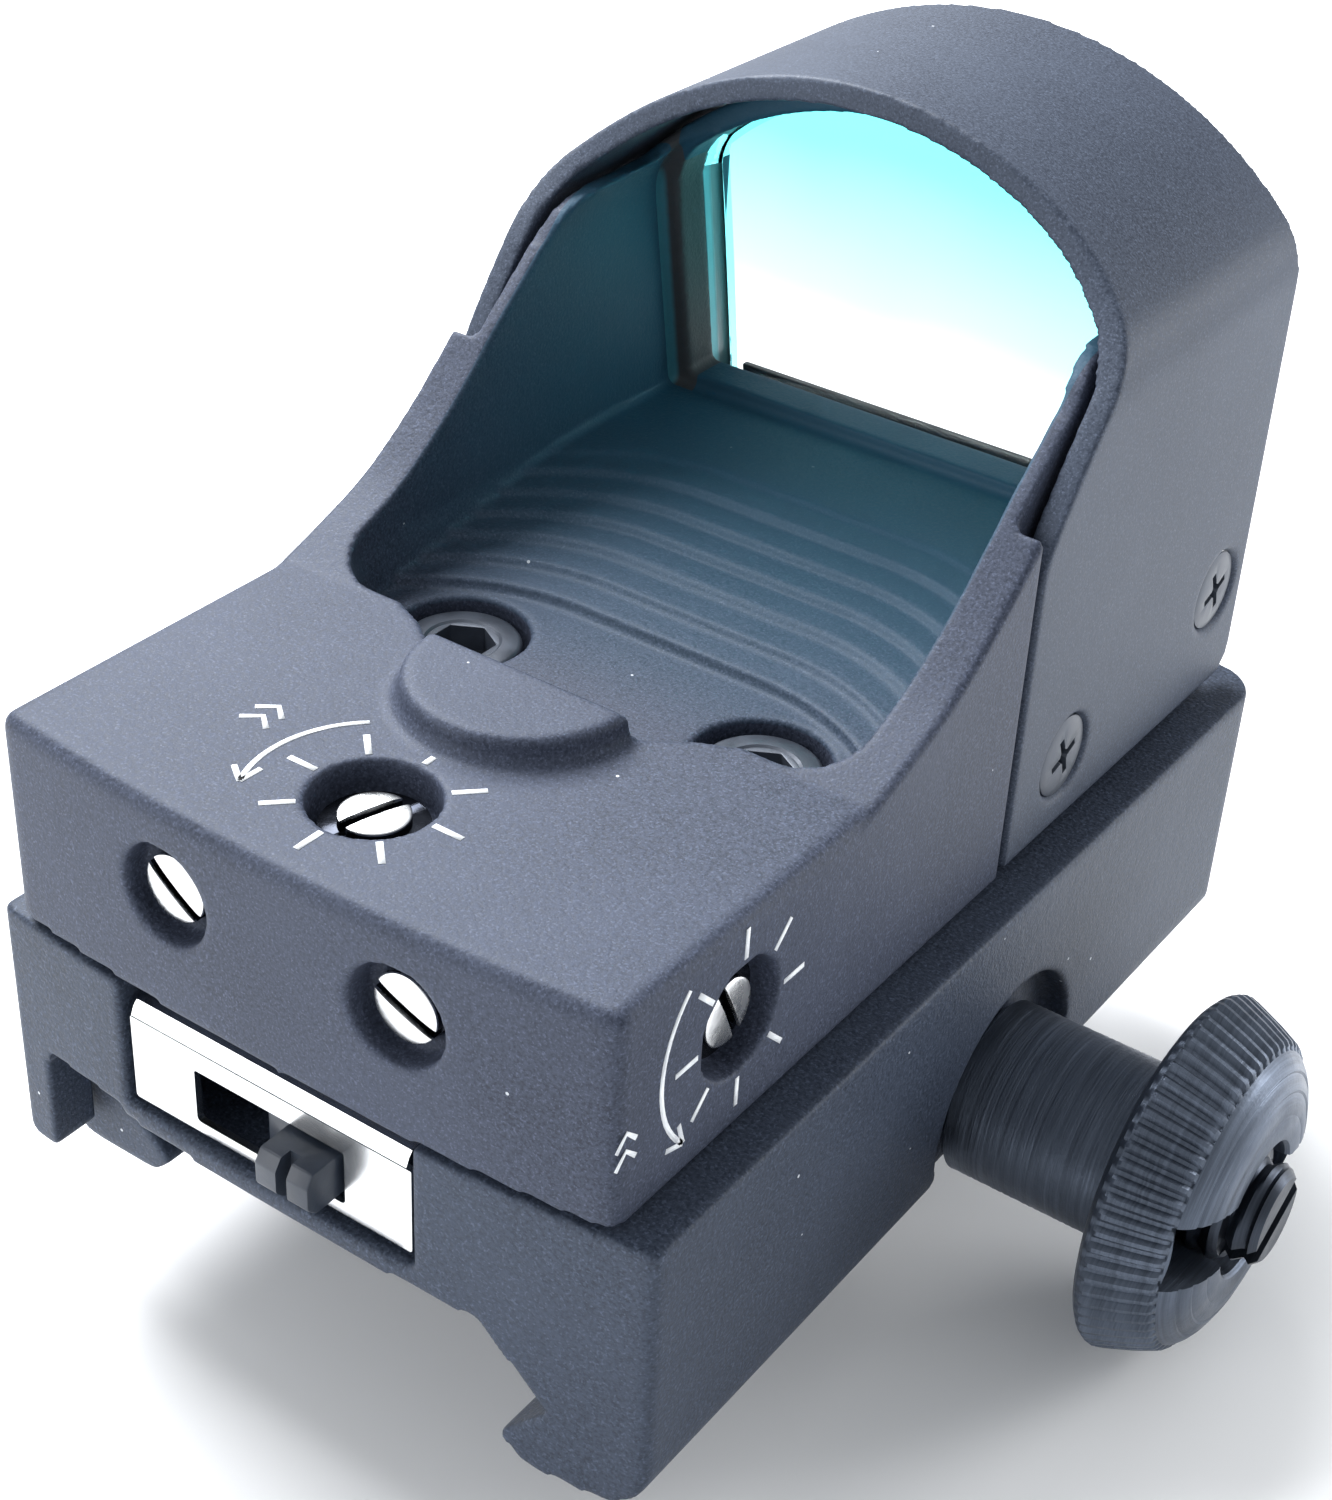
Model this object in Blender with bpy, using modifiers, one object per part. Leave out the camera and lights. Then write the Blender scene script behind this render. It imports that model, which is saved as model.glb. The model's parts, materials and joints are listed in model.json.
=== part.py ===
"""Red dot finder: an open reflex sight on a rail clamp, as separate pieces.

Frame: +X is the shooter's right, +Y the aiming direction and +Z up. The origin is the middle of the flat roof of
the rail slot. Every size below is in millimetres and is turned into metres when a mesh is made.
"""

import math

import bmesh
import bpy
from mathutils import Matrix, Vector

MM = 0.001
GAP = 0.3  # clearance between neighbouring pieces

# Rail clamp base
BASE_REAR = -22.5
BASE_FRONT = 21.3
BASE_DRAFT = 1.2  # how far the front face leans back on its way down
BASE_LEFT = -13.95
BASE_RIGHT = 14.3
BASE_TOP = 6.0
BASE_BOTTOM = -5.6
REAR_BULGE = 0.005  # the rear faces are arcs in plan: y rises by this times x squared
RAIL_TOP_HALF = 7.85  # half width of the rail's flat top
RAIL_FLANK_DROP = 2.77  # how far the 45 degree flank falls to the rail's widest line
HOOK_REACH = 1.9  # how far a jaw's hook comes back under the rail
LUG_INNER = -12.15
LUG_BOTTOM = -4.3
JAW_REAR = -19.5
JAW_FRONT = 18.3
SEAT_RELIEF = 0.4  # depth of the grooves that clear the jaw and the cross bolt

# Optics housing
HOUSING_HALF = 12.75
HOUSING_BOTTOM = BASE_TOP + GAP
DECK = 14.45
DECK_FRONT = -7.8
FRAME_HALF = 11.6
FRAME_FRONT = 19.5
CHANNEL_HALF = 10.9
CHANNEL_FLOOR = 14.3
SCREW_FLOOR = 12.4
CAVITY_TOP = 12.9
BATTERY_CEILING = 10.9
FIRST_STEP = -1.6
STEP_PITCH = 1.65
STEP_COUNT = 6
RISER_FLAT = 4.0  # half width of the straight middle of a riser
RISER_R = 9.0  # radius of its two ends
BOSS_Y = -10.0
BOSS_R = 4.2
BOSS_TOP = 15.5

# Arched frame and shield: every arch is drawn round the same centre
ARCH_Z = 14.1
FRAME_R = 15.42
SHIELD_HALF = 12.8
SHIELD_R = 16.6
SHIELD_WALL = 0.9
SHIELD_REAR = 1.85
SHIELD_FRONT = 20.45
SHIELD_LIP = 0.45  # the wall is thinner than SHIELD_WALL in front of SHIELD_LIP_REAR
SHIELD_LIP_REAR = 18.7
SHIELD_BOTTOM = 6.5

# Lens: every seat is a plane that leans back by LENS_TILT about the X axis through LENS_Z
LENS_TILT = math.radians(10)
LENS_Z = 20.0
SEAT_OUTER = 12.8
LENS_SEAT = 14.7
LENS_THICK = 2.4
LENS_R = 400.0
LENS_GAP = 0.42  # from the seat plane to the middle of the rear surface
FRAME_FACE = 18.05  # the leaning front of the lens frame

# Screws and moving pieces
ELEVATION_Y = -17.65
WINDAGE_Y = -15.3
WINDAGE_Z = 10.5
LOCK_X = 4.82
LOCK_Z = 11.0
MOUNT_X = 6.6
MOUNT_Y = -5.3
BATTERY_Y = 7.0
BATTERY_R = 10.0
BATTERY_THICK = 3.2
BATTERY_BOTTOM = 6.95
NUT_Y = 1.5
NUT_Z = -2.95
BOLT_R = 2.2
SWITCH_LEFT = -7.3
SWITCH_RIGHT = 5.1
SHIELD_SCREWS = {"rear": (5.8, 9.4), "front": (17.9, 11.1)}

BLACK = (0.075, 0.085, 0.11)

for old in list(bpy.data.objects):
    bpy.data.objects.remove(old, do_unlink=True)


def new_collection(name):
    made = bpy.data.collections.new(name)
    bpy.context.scene.collection.children.link(made)
    return made


PARTS = new_collection("red_dot_finder")
CUTTERS = new_collection("cutters")


# ---------------------------------------------------------------- materials

def material(name, colour, roughness, metallic):
    made = bpy.data.materials.new(name)
    made.use_nodes = True
    shader = made.node_tree.nodes["Principled BSDF"]
    shader.inputs["Base Color"].default_value = (*colour, 1.0)
    shader.inputs["Roughness"].default_value = roughness
    shader.inputs["Metallic"].default_value = metallic
    return made


# ---------------------------------------------------------------- outlines

def arc(centre, radius, start, end, steps):
    """Points on an arc, from the start angle to the end angle in degrees."""
    angles = [math.radians(start + (end - start) * i / steps) for i in range(steps + 1)]
    return [(centre[0] + radius * math.cos(a), centre[1] + radius * math.sin(a)) for a in angles]


def rounded(corners, steps=4):
    """A closed outline from (u, v, radius) corners, each with a fillet of its radius."""
    points = []
    for i, (u, v, radius) in enumerate(corners):
        here = Vector((u, v))
        if not radius:
            points.append((u, v))
            continue
        back = (Vector(corners[i - 1][:2]) - here).normalized()
        ahead = (Vector(corners[(i + 1) % len(corners)][:2]) - here).normalized()
        half = math.acos(max(-1.0, min(1.0, back.dot(ahead)))) / 2
        reach = radius / math.tan(half)
        centre = here + (back + ahead).normalized() * (radius / math.sin(half))
        first = here + back * reach - centre
        turn = first.angle_signed(here + ahead * reach - centre)
        for k in range(steps + 1):
            spoke = first.copy()
            spoke.rotate(Matrix.Rotation(-turn * k / steps, 2))
            points.append(tuple(centre + spoke))
    return points


def flowing(knots, steps=3):
    """A smooth open line through the knots."""
    ends = [knots[0], *knots, knots[-1]]
    line = []
    for a, b, c, d in zip(ends, ends[1:], ends[2:], ends[3:]):
        for k in range(steps):
            t = k / steps
            line.append(tuple(
                0.5 * (2 * q + (r - p) * t + (2 * p - 5 * q + 4 * r - s) * t**2 + (3 * q - p - 3 * r + s) * t**3)
                for p, q, r, s in zip(a, b, c, d)
            ))
    return [*line, knots[-1]]


def arch(half, radius, floor, steps=14, soften=1.4):
    """A flat-bottomed arch in X and Z: upright sides, softened shoulders, and a round top."""
    shoulder = ARCH_Z + math.sqrt(radius**2 - half**2)
    start = math.degrees(math.asin((shoulder - ARCH_Z) / radius)) + math.degrees(soften / radius)
    top = arc((0, ARCH_Z), radius, start, 180 - start, steps)
    right = bend((half, shoulder - soften), (half, shoulder), top[0])
    left = bend(top[-1], (-half, shoulder), (-half, shoulder - soften))
    return [(-half, floor), (half, floor), *right, *top[1:-1], *left]


def bend(first, corner, last, steps=3):
    """A soft corner between two points."""
    weights = [(k / steps) for k in range(steps + 1)]
    return [
        tuple((1 - t) ** 2 * a + 2 * t * (1 - t) * b + t * t * c for a, b, c in zip(first, corner, last))
        for t in weights
    ]


def rear_arc(left, right, rear, steps=10):
    """The bulging rear edge in plan, from left to right."""
    xs = [left + (right - left) * i / steps for i in range(steps + 1)]
    return [(x, rear + REAR_BULGE * x * x) for x in xs]


# ---------------------------------------------------------------- solids

def add(name, mesh, look=None):
    """Links a mesh as a part when it has a material, and as a hidden cutter when it hasn't."""
    made = bpy.data.objects.new(name, mesh)
    if look:
        PARTS.objects.link(made)
        mesh.materials.clear()
        mesh.materials.append(look)
    else:
        CUTTERS.objects.link(made)
        made.hide_render = True
        made.display_type = "WIRE"
    return made


def finish_mesh(shape, name):
    bmesh.ops.recalc_face_normals(shape, faces=shape.faces[:])
    if shape.calc_volume(signed=True) < 0:
        bmesh.ops.reverse_faces(shape, faces=shape.faces[:])
    mesh = bpy.data.meshes.new(name)
    shape.to_mesh(mesh)
    shape.free()
    return mesh


def box(name, low, high, look=None):
    shape = bmesh.new()
    size = [(b - a) * MM for a, b in zip(low, high)]
    middle = [(b + a) / 2 * MM for a, b in zip(low, high)]
    bmesh.ops.create_cube(shape, size=1.0, matrix=Matrix.Translation(middle) @ Matrix.Diagonal((*size, 1)))
    return add(name, finish_mesh(shape, name), look)


TURNS = {"X": Matrix.Rotation(math.pi / 2, 4, "Y"), "Y": Matrix.Rotation(-math.pi / 2, 4, "X"), "Z": Matrix.Identity(4)}


def cylinder(name, axis, centre, low, high, radius, look=None, steps=32, end_radius=None):
    """A cylinder or cone along an axis, between two places on it; end_radius is its radius at the high end."""
    along = "XYZ".index(axis)
    middle = list(centre)
    middle.insert(along, (low + high) / 2)
    shape = bmesh.new()
    bmesh.ops.create_cone(
        shape, cap_ends=True, segments=steps, radius1=radius * MM,
        radius2=(radius if end_radius is None else end_radius) * MM, depth=(high - low) * MM,
        matrix=Matrix.Translation([v * MM for v in middle]) @ TURNS[axis],
    )
    mesh = finish_mesh(shape, name)
    mesh.shade_smooth()
    mesh.set_sharp_from_angle(angle=math.radians(40))
    return add(name, mesh, look)


def prism(name, outline, plane, low, high, look=None):
    """A flat outline in the named plane, extruded between two places on the third axis."""
    curve = bpy.data.curves.new(name, "CURVE")
    curve.dimensions = "2D"
    curve.fill_mode = "BOTH"
    curve.extrude = (high - low) / 2 * MM
    spline = curve.splines.new("POLY")
    spline.points.add(len(outline) - 1)
    for point, (u, v) in zip(spline.points, outline):
        point.co = (u * MM, v * MM, 0, 1)
    spline.use_cyclic_u = True
    guide = bpy.data.objects.new(name, curve)
    CUTTERS.objects.link(guide)
    mesh = bpy.data.meshes.new_from_object(guide)
    bpy.data.objects.remove(guide, do_unlink=True)
    shape = bmesh.new()
    shape.from_mesh(mesh)
    bpy.data.meshes.remove(mesh)
    bmesh.ops.remove_doubles(shape, verts=shape.verts[:], dist=1e-6)
    bmesh.ops.dissolve_limit(shape, angle_limit=math.radians(0.5), verts=shape.verts[:], edges=shape.edges[:])
    middle = (low + high) / 2 * MM
    for vert in shape.verts:
        u, v, w = vert.co
        w += middle
        vert.co = {"XY": (u, v, w), "XZ": (u, w, v), "YZ": (w, u, v)}[plane]
    return add(name, finish_mesh(shape, name), look)


def turned(name, axis, origin, profile, look, steps=32):
    """A turned piece with its origin on its axis. The profile is (radius, place along the axis), far end first."""
    mesh = bpy.data.meshes.new(name)
    count = len(profile)
    closed = profile[0][0] > 0
    edges = [(i, i + 1) for i in range(count - 1)] + ([(count - 1, 0)] if closed else [])
    mesh.from_pydata([(r * MM, 0, h * MM) for r, h in profile], edges, [])
    made = add(name, mesh, look)
    screw = made.modifiers.new("turn", "SCREW")
    screw.axis = "Z"
    screw.steps = screw.render_steps = steps
    screw.use_merge_vertices = True
    screw.merge_threshold = 0.00001
    made.matrix_world = Matrix.Translation([v * MM for v in origin]) @ TURNS[axis]
    return made


def boolean(piece, other, operation):
    change = piece.modifiers.new(operation.lower(), "BOOLEAN")
    change.operation = operation
    change.object = other
    change.solver = "EXACT"


def cut(piece, *cutters):
    for cutter in cutters:
        boolean(piece, cutter, "DIFFERENCE")


def join(piece, *others):
    for other in others:
        boolean(piece, other, "UNION")


def common(piece, other):
    boolean(piece, other, "INTERSECT")


def bevel(piece, width, segments=2, angle=50):
    change = piece.modifiers.new("bevel", "BEVEL")
    change.width = width * MM
    change.segments = segments
    change.limit_method = "ANGLE"
    change.angle_limit = math.radians(angle)


def behind_plane(name, place):
    """A large block whose front face is the leaning plane that crosses LENS_Z at this place."""
    block = box(name, (-30, -60, -30), (30, 0, 30))
    block.matrix_world = Matrix.Translation((0, place * MM, LENS_Z * MM)) @ Matrix.Rotation(LENS_TILT, 4, "X")
    return block


def slot_cutter(name, axis, centre, places, width, turn=0.0, reach=9.0):
    """A bar across an axis, for a screwdriver slot, turned about that axis by an angle in degrees."""
    along = "XYZ".index(axis)
    middle = list(centre)
    middle.insert(along, sum(places) / 2)
    bar = box(name, (-reach, -width / 2, -(places[1] - places[0]) / 2), (reach, width / 2, (places[1] - places[0]) / 2))
    spin = Matrix.Rotation(math.radians(turn), 4, "Z")
    bar.matrix_world = Matrix.Translation([v * MM for v in middle]) @ TURNS[axis] @ spin
    return bar


# ---------------------------------------------------------------- housing

CREST = [(-9.6, 13.9), (-8.2, 14.4), (-6.5, 15.0), (-3.8, 16.1), (-1.5, 17.6), (0.3, 19.1), (1.9, 20.6),
         (3.4, 21.9), (4.8, 23.1), (5.9, 24.1), (7.2, 24.6), (9.2, 24.75), (10.8, 24.9), (11.5, 25.7),
         (11.7, 27.5), (11.8, 31.0)]
WING_FRONT = 4.8
CREST_SETBACK = 0.25  # keeps the frame's crest just inside the wings'


def pocket_outline(front, inset=0.0):
    """The floor pocket in plan: soft rear corners, and a front edge that curves back at both ends."""
    half, rear = CHANNEL_HALF - inset, DECK_FRONT + inset
    sweep = [(half * (1 - k / 12), RISER_R) for k in range(25)]
    edge = [(x, front - r + math.sqrt(r * r - max(0, abs(x) - RISER_FLAT) ** 2)) for x, r in sweep]
    return [*arc((-half + 2.2, rear + 2.2), 2.2, 180, 270, 5), *arc((half - 2.2, rear + 2.2), 2.2, 270, 360, 5), *edge]


def lens_opening(name, half, radius, floor, place):
    """The part of the arched channel that lies behind a leaning seat plane."""
    opening = prism(name, arch(half, radius, floor), "XZ", DECK_FRONT - 1, 30)
    common(opening, behind_plane(name + "_limit", place))
    return opening


def make_housing(look):
    plan = [*rear_arc(-HOUSING_HALF + 0.3, HOUSING_HALF - 0.3, BASE_REAR), (HOUSING_HALF, BASE_REAR + 1.2),
            (HOUSING_HALF, 4.0), (-HOUSING_HALF, 4.0), (-HOUSING_HALF, BASE_REAR + 1.2)]
    housing = prism("housing", plan, "XY", 3.0, DECK, look)
    bevel(housing, 0.9, 3)

    crest = flowing(CREST)
    wing_crest = [point for point in crest if point[0] <= WING_FRONT]
    frame_crest = [(y + CREST_SETBACK, z) for y, z in crest]
    wings = prism("wings", [*wing_crest, (WING_FRONT, 8.0), (-9.6, 8.0)], "YZ", -HOUSING_HALF, HOUSING_HALF)
    bevel(wings, 0.8, 3)
    join(housing, wings)
    for sign, tag in ((1, "right"), (-1, "left")):
        sides = sorted((sign * FRAME_HALF, sign * 16))
        cut(housing, box("shield_room_" + tag, (sides[0], SHIELD_REAR - GAP, 0), (sides[1], 30, 40)))

    frame = prism("lens_frame", arch(FRAME_HALF, FRAME_R, 3.0), "XZ", 0.2, FRAME_FRONT)
    common(frame, prism("frame_side", [*frame_crest, (25, 31.0), (25, 2), (-9.6, 2)], "YZ", -20, 20))
    join(housing, frame)
    join(housing, cylinder("emitter_boss", "Z", (0, BOSS_Y), 13.5, BOSS_TOP, BOSS_R, steps=40))
    cut(housing, box("below_housing", (-20, -30, -5), (20, 30, HOUSING_BOTTOM)))

    # The arched channel that the eye looks along, stepped towards the lens
    channel = prism("channel", pocket_outline(40), "XY", CHANNEL_FLOOR, 45)
    common(channel, lens_opening("channel_arch", CHANNEL_HALF, 14.9, 10.0, SEAT_OUTER))
    cut(housing, channel, lens_opening("step_opening", 10.1, 14.5, 14.9, LENS_SEAT + 0.3))
    lens_room = prism("lens_room", arch(10.75, 15.0, 13.45), "XZ", 5, 30)
    cut(lens_room, behind_plane("lens_room_limit", LENS_SEAT))
    open_front = prism("open_front", arch(12.4, 16.4, 13.3), "XZ", 5, 30)
    cut(open_front, behind_plane("open_front_limit", FRAME_FACE))
    cut(housing, lens_room, open_front)

    # The sunken floor, with its terraces
    for i in range(STEP_COUNT + 1):
        level = SCREW_FLOOR if i == 0 else SCREW_FLOOR + 0.4 + 0.27 * (i - 1)
        outline = pocket_outline(FIRST_STEP + STEP_PITCH * i, 0.04 * (STEP_COUNT + 1 - i))
        cut(housing, prism("terrace_%d" % i, outline, "XY", level, CHANNEL_FLOOR + 0.1))
    notch = rounded([(-7.4, DECK_FRONT + 1, 0), (-7.4, DECK_FRONT, 0.5), (-6.0, -8.4, 1.0), (-3.9, BOSS_Y, 0.6),
                     (3.9, BOSS_Y, 0.6), (6.0, -8.4, 1.0), (7.4, DECK_FRONT, 0.5), (7.4, DECK_FRONT + 1, 0)])
    cut(housing, prism("boss_front", notch, "XY", SCREW_FLOOR, 20))

    # Room for the works, the battery and the screws
    cut(housing,
        box("rear_cavity", (-10.4, -20.3, 0), (10.4, -8.7, CAVITY_TOP)),
        box("boss_cavity", (-2.3, -13.2, 10), (2.3, -10.85, 15.0)),
        box("emitter_hole", (-1.1, -11.0, 13.1), (1.1, -9.0, 14.7)),
        box("pane_recess", (-1.9, -10.5, 12.75), (1.9, -9.0, 15.05)),
        box("lead_channel", (-3.6, -9.5, 7.3), (3.6, 1.0, BATTERY_CEILING)),
        box("lead_notch", (-3.0, -3.5, 0), (3.0, 1.0, 8.0)),
        cylinder("battery_room", "Z", (0, BATTERY_Y), 0, BATTERY_CEILING, BATTERY_R + 0.3, steps=48))
    for x in (-MOUNT_X, MOUNT_X):
        cut(housing,
            cylinder("mount_head_room", "Z", (x, MOUNT_Y), 10.3, 20, 2.5),
            cylinder("mount_hole", "Z", (x, MOUNT_Y), 0, 12, 1.75))
    for x in (-LOCK_X, LOCK_X):
        cut(housing,
            cylinder("lock_counterbore", "Y", (x, LOCK_Z), -30, -21.2, 1.85),
            cylinder("lock_hole", "Y", (x, LOCK_Z), -30, -19, 1.3))
    cut(housing,
        cylinder("elevation_counterbore", "Z", (0, ELEVATION_Y), 13.0, 20, 2.2),
        cylinder("elevation_hole", "Z", (0, ELEVATION_Y), 12, 20, 1.1),
        cylinder("windage_counterbore", "X", (WINDAGE_Y, WINDAGE_Z), 11.4, 20, 2.1),
        cylinder("windage_hole", "X", (WINDAGE_Y, WINDAGE_Z), 9, 20, 1.3))
    for end, (y, z) in SHIELD_SCREWS.items():
        for sign in (1, -1):
            span = sorted((sign * (10.5 if end == "rear" else 9.9), sign * 15))
            cut(housing, cylinder("shield_thread_" + end, "X", (y, z), *span, 1.05, steps=20))
    return housing


# ---------------------------------------------------------------- shield

SHIELD_RIM = [(SHIELD_REAR, 17.5), (2.15, 19.4), (4.5, 22.7), (6.6, 25.0), (7.8, 26.6), (8.5, 28.6), (8.8, 31.5)]


def make_shield(look):
    shield = prism("shield", arch(SHIELD_HALF, SHIELD_R, SHIELD_BOTTOM, 20), "XZ", 0, SHIELD_FRONT + 1, look)
    inner = arch(SHIELD_HALF - SHIELD_WALL, SHIELD_R - SHIELD_WALL, 0, 20)
    lip = arch(SHIELD_HALF - SHIELD_LIP, SHIELD_R - SHIELD_LIP, 0, 20)
    corner = arc((SHIELD_FRONT - 1.1, SHIELD_BOTTOM + 1.1), 1.1, 0, -90, 5)
    side = [*flowing(SHIELD_RIM), (8.8, 33), (SHIELD_FRONT, 33), *corner, (SHIELD_REAR, SHIELD_BOTTOM)]
    common(shield, prism("shield_side", side, "YZ", -20, 20))
    cut(shield, prism("shield_inside", inner, "XZ", -5, 30), prism("shield_lip", lip, "XZ", SHIELD_LIP_REAR, 30))
    for end, (y, z) in SHIELD_SCREWS.items():
        for sign in (1, -1):
            outer, bore = sign * 13.0, sign * 11.5
            sink = cylinder("countersink", "X", (y, z), *sorted((outer, bore)),
                            *((0.95, None, 24, 1.95) if sign > 0 else (1.95, None, 24, 0.95)))
            cut(shield, sink)
    return shield


def make_shield_screw(side, end, look):
    sign = 1 if side == "right" else -1
    y, z = SHIELD_SCREWS[end]
    tip = 10.8 if end == "rear" else 10.2
    name = "shield_screw_%s_%s" % (side, end)
    head = cylinder(name, "X", (y, z), *sorted((sign * 12.7, sign * 11.9)),
                    *((0.8, look, 24, 1.5) if sign > 0 else (1.5, look, 24, 0.8)))
    join(head, cylinder(name + "_shank", "X", (y, z), *sorted((sign * tip, sign * 12.2)), 0.72, steps=20))
    cut(head, cylinder(name + "_drive", "X", (y, z), *sorted((sign * 12.3, sign * 14)), 0.75, steps=6))
    return head


# ---------------------------------------------------------------- lens

LENS_ARCH = (10.45, 14.7, 13.75)


def make_lens(look):
    """A slice of a shallow sphere, hollow towards the eye, trimmed to the arch."""
    shape = bmesh.new()
    bmesh.ops.create_grid(shape, x_segments=12, y_segments=9, size=1.0)
    middle = 21.4
    for vert in shape.verts:
        x, z = vert.co.x * 11.5, vert.co.y * 9.0
        vert.co = (x * MM, -(x * x + z * z) / (2 * LENS_R) * MM, z * MM)
    grown = bmesh.ops.extrude_face_region(shape, geom=shape.faces[:])["geom"]
    for vert in [g for g in grown if isinstance(g, bmesh.types.BMVert)]:
        vert.co.y += LENS_THICK * MM
    lens = add("lens", finish_mesh(shape, "lens"), look)
    lean = (middle - LENS_Z) * math.tan(LENS_TILT)
    lens.matrix_world = (Matrix.Translation((0, (LENS_SEAT + LENS_GAP - lean) * MM, middle * MM))
                         @ Matrix.Rotation(LENS_TILT, 4, "X"))
    common(lens, prism("lens_trim", arch(*LENS_ARCH), "XZ", 0, 30))
    lens.data.shade_smooth()
    lens.data.set_sharp_from_angle(angle=math.radians(40))
    return lens


def make_lens_seal(look):
    """A bead along the foot of the lens, in front of the glass."""
    seal = prism("lens_seal", arch(*LENS_ARCH), "XZ", 0, 30, look)
    common(seal, behind_plane("seal_front", FRAME_FACE))
    common(seal, box("seal_reach", (-9.0, 0, 0), (9.0, 40, 18)))
    cut(seal, behind_plane("seal_rear", LENS_SEAT + LENS_GAP + LENS_THICK + 0.22),
        prism("seal_inside", arch(10.1, 14.2, 14.2), "XZ", -5, 40))
    return seal


# ---------------------------------------------------------------- adjusters

def make_elevation_screw(look):
    profile = [(0, 0), (1.2, 0), (1.2, -0.45), (1.85, -0.45), (1.85, -0.6), (0.75, -0.6), (0.75, -4.6), (0, -4.6)]
    screw = turned("elevation_screw", "Z", (0, ELEVATION_Y, 13.92), profile, look)
    cut(screw, slot_cutter("elevation_slot", "Z", (0, ELEVATION_Y), (13.5, 15), 0.42, 73, 1.6))
    return screw


def make_windage_screw(look):
    profile = [(0, 0), (1.2, 0), (1.2, -0.45), (1.75, -0.45), (1.75, -0.65), (0.95, -0.65), (0.95, -7.9), (0, -7.9)]
    screw = turned("windage_screw", "X", (12.35, WINDAGE_Y, WINDAGE_Z), profile, look)
    cut(screw, slot_cutter("windage_slot", "X", (WINDAGE_Y, WINDAGE_Z), (11.95, 14), 0.42, 25, 1.6))
    return screw


def make_lock_screw(side, look):
    x, turn = (LOCK_X, 22) if side == "right" else (-LOCK_X, 38)
    profile = [(0, 0), (0.95, 0), (0.95, -4.0), (1.25, -4.0), (1.25, -4.75), (0, -4.75)]
    screw = turned("lock_screw_" + side, "Y", (x, -17.15, LOCK_Z), profile, look)
    cut(screw, slot_cutter("lock_slot_" + side, "Y", (x, LOCK_Z), (-23, -21.4), 0.45, turn, 1.6))
    return screw


def make_mount_screw(side, look):
    x = MOUNT_X if side == "right" else -MOUNT_X
    profile = [(0, 12.05), (2.05, 12.05), (2.2, 11.9), (2.2, 10.6), (1.42, 10.6), (1.42, 1.7), (0, 1.7)]
    screw = turned("mount_screw_" + side, "Z", (x, MOUNT_Y, 0), profile, look)
    cut(screw, cylinder("hex_" + side, "Z", (x, MOUNT_Y), 11.0, 14, 1.25, steps=6))
    return screw


def make_windage_block(look):
    """A carriage that slides across on the windage screw, with a seat for the elevation spring."""
    block = box("windage_block", (-6.0, -16.8, 7.0), (6.0, -13.5, 12.2), look)
    join(block, box("spring_seat", (-2.4, -19.4, 7.0), (2.4, -15.0, 7.9)))
    cut(block,
        box("arm_slot", (-2.5, -20, 8.3), (2.5, -10, 14)),
        box("spring_room", (-2.1, -20, 7.55), (2.1, -15.8, 9)),
        cylinder("windage_thread", "X", (WINDAGE_Y, WINDAGE_Z), 3.3, 8, 1.25, steps=24))
    return block


def make_elevation_arm(look):
    arm = box("elevation_arm", (-2.2, -19.7, 9.2), (2.2, -12.25, 10.8), look)
    join(arm, box("arm_upright", (-1.4, -12.7, 9.6), (1.4, -12.25, 14.2)))
    slot = rounded([(-1.55, -18.7, 1.0), (1.55, -18.7, 1.0), (1.55, -16.6, 1.0), (-1.55, -16.6, 1.0)])
    cut(arm, prism("elevation_play", slot, "XY", 5, 15))
    return arm


def make_spring(name, axis, centre, low, high, radius, wire, turns, look):
    """An open coil between two places on its axis."""
    steps = 12 * turns
    curve = bpy.data.curves.new(name, "CURVE")
    curve.dimensions = "3D"
    curve.fill_mode = "FULL"
    curve.bevel_depth = wire * MM
    curve.bevel_resolution = 1
    curve.use_fill_caps = True
    spline = curve.splines.new("POLY")
    spline.points.add(steps)
    for i, point in enumerate(spline.points):
        angle = 2 * math.pi * turns * i / steps
        ring = (radius * math.cos(angle), radius * math.sin(angle))
        place = low + wire + (high - low - 2 * wire) * i / steps
        where = [centre[0] + ring[0], centre[1] + ring[1]]
        where.insert("XYZ".index(axis), place)
        point.co = (*[v * MM for v in where], 1)
    curve.materials.append(look)
    spring = bpy.data.objects.new(name, curve)
    PARTS.objects.link(spring)
    return spring


# ---------------------------------------------------------------- electronics

def make_circuit_board(look):
    board = [(-10.1, -20.0), (-7.0, -20.0), (-7.0, -12.6), (3.3, -12.6), (3.3, -9.0), (-10.1, -9.0)]
    return prism("circuit_board", board, "XY", 6.95, 7.6, look)


def make_contact_positive(look):
    strip = box("contact_positive", (1.0, -10.4, 10.45), (2.8, 8.0, 10.62), look)
    join(strip, box("positive_leg", (1.0, -10.4, 7.9), (2.8, -10.2, 10.55)))
    return strip


def make_contact_negative(look):
    strip = box("contact_negative", (-2.8, -10.4, 7.9), (-1.0, -3.15, 8.07), look)
    join(strip, box("negative_leg", (-2.8, -3.32, 6.4), (-1.0, -3.15, 8.0)),
         box("negative_foot", (-2.8, -3.32, 6.4), (-1.0, 8.0, 6.57)))
    return strip


def make_battery(look):
    half = BATTERY_THICK / 2
    profile = [(0, half), (9.7, half), (10.0, half - 0.3), (10.0, -half + 0.9), (9.2, -half + 0.25), (8.8, -half),
               (0, -half)]
    middle = BATTERY_BOTTOM + half
    return turned("battery", "Z", (0, BATTERY_Y, middle), profile, look, 48)


# ---------------------------------------------------------------- base

def make_base_seal(look):
    profile = [(10.6, 6.02), (11.2, 6.02), (11.2, 5.45), (10.6, 5.45)]
    return turned("base_seal", "Z", (0, BATTERY_Y, 0), profile, look, 48)


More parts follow.
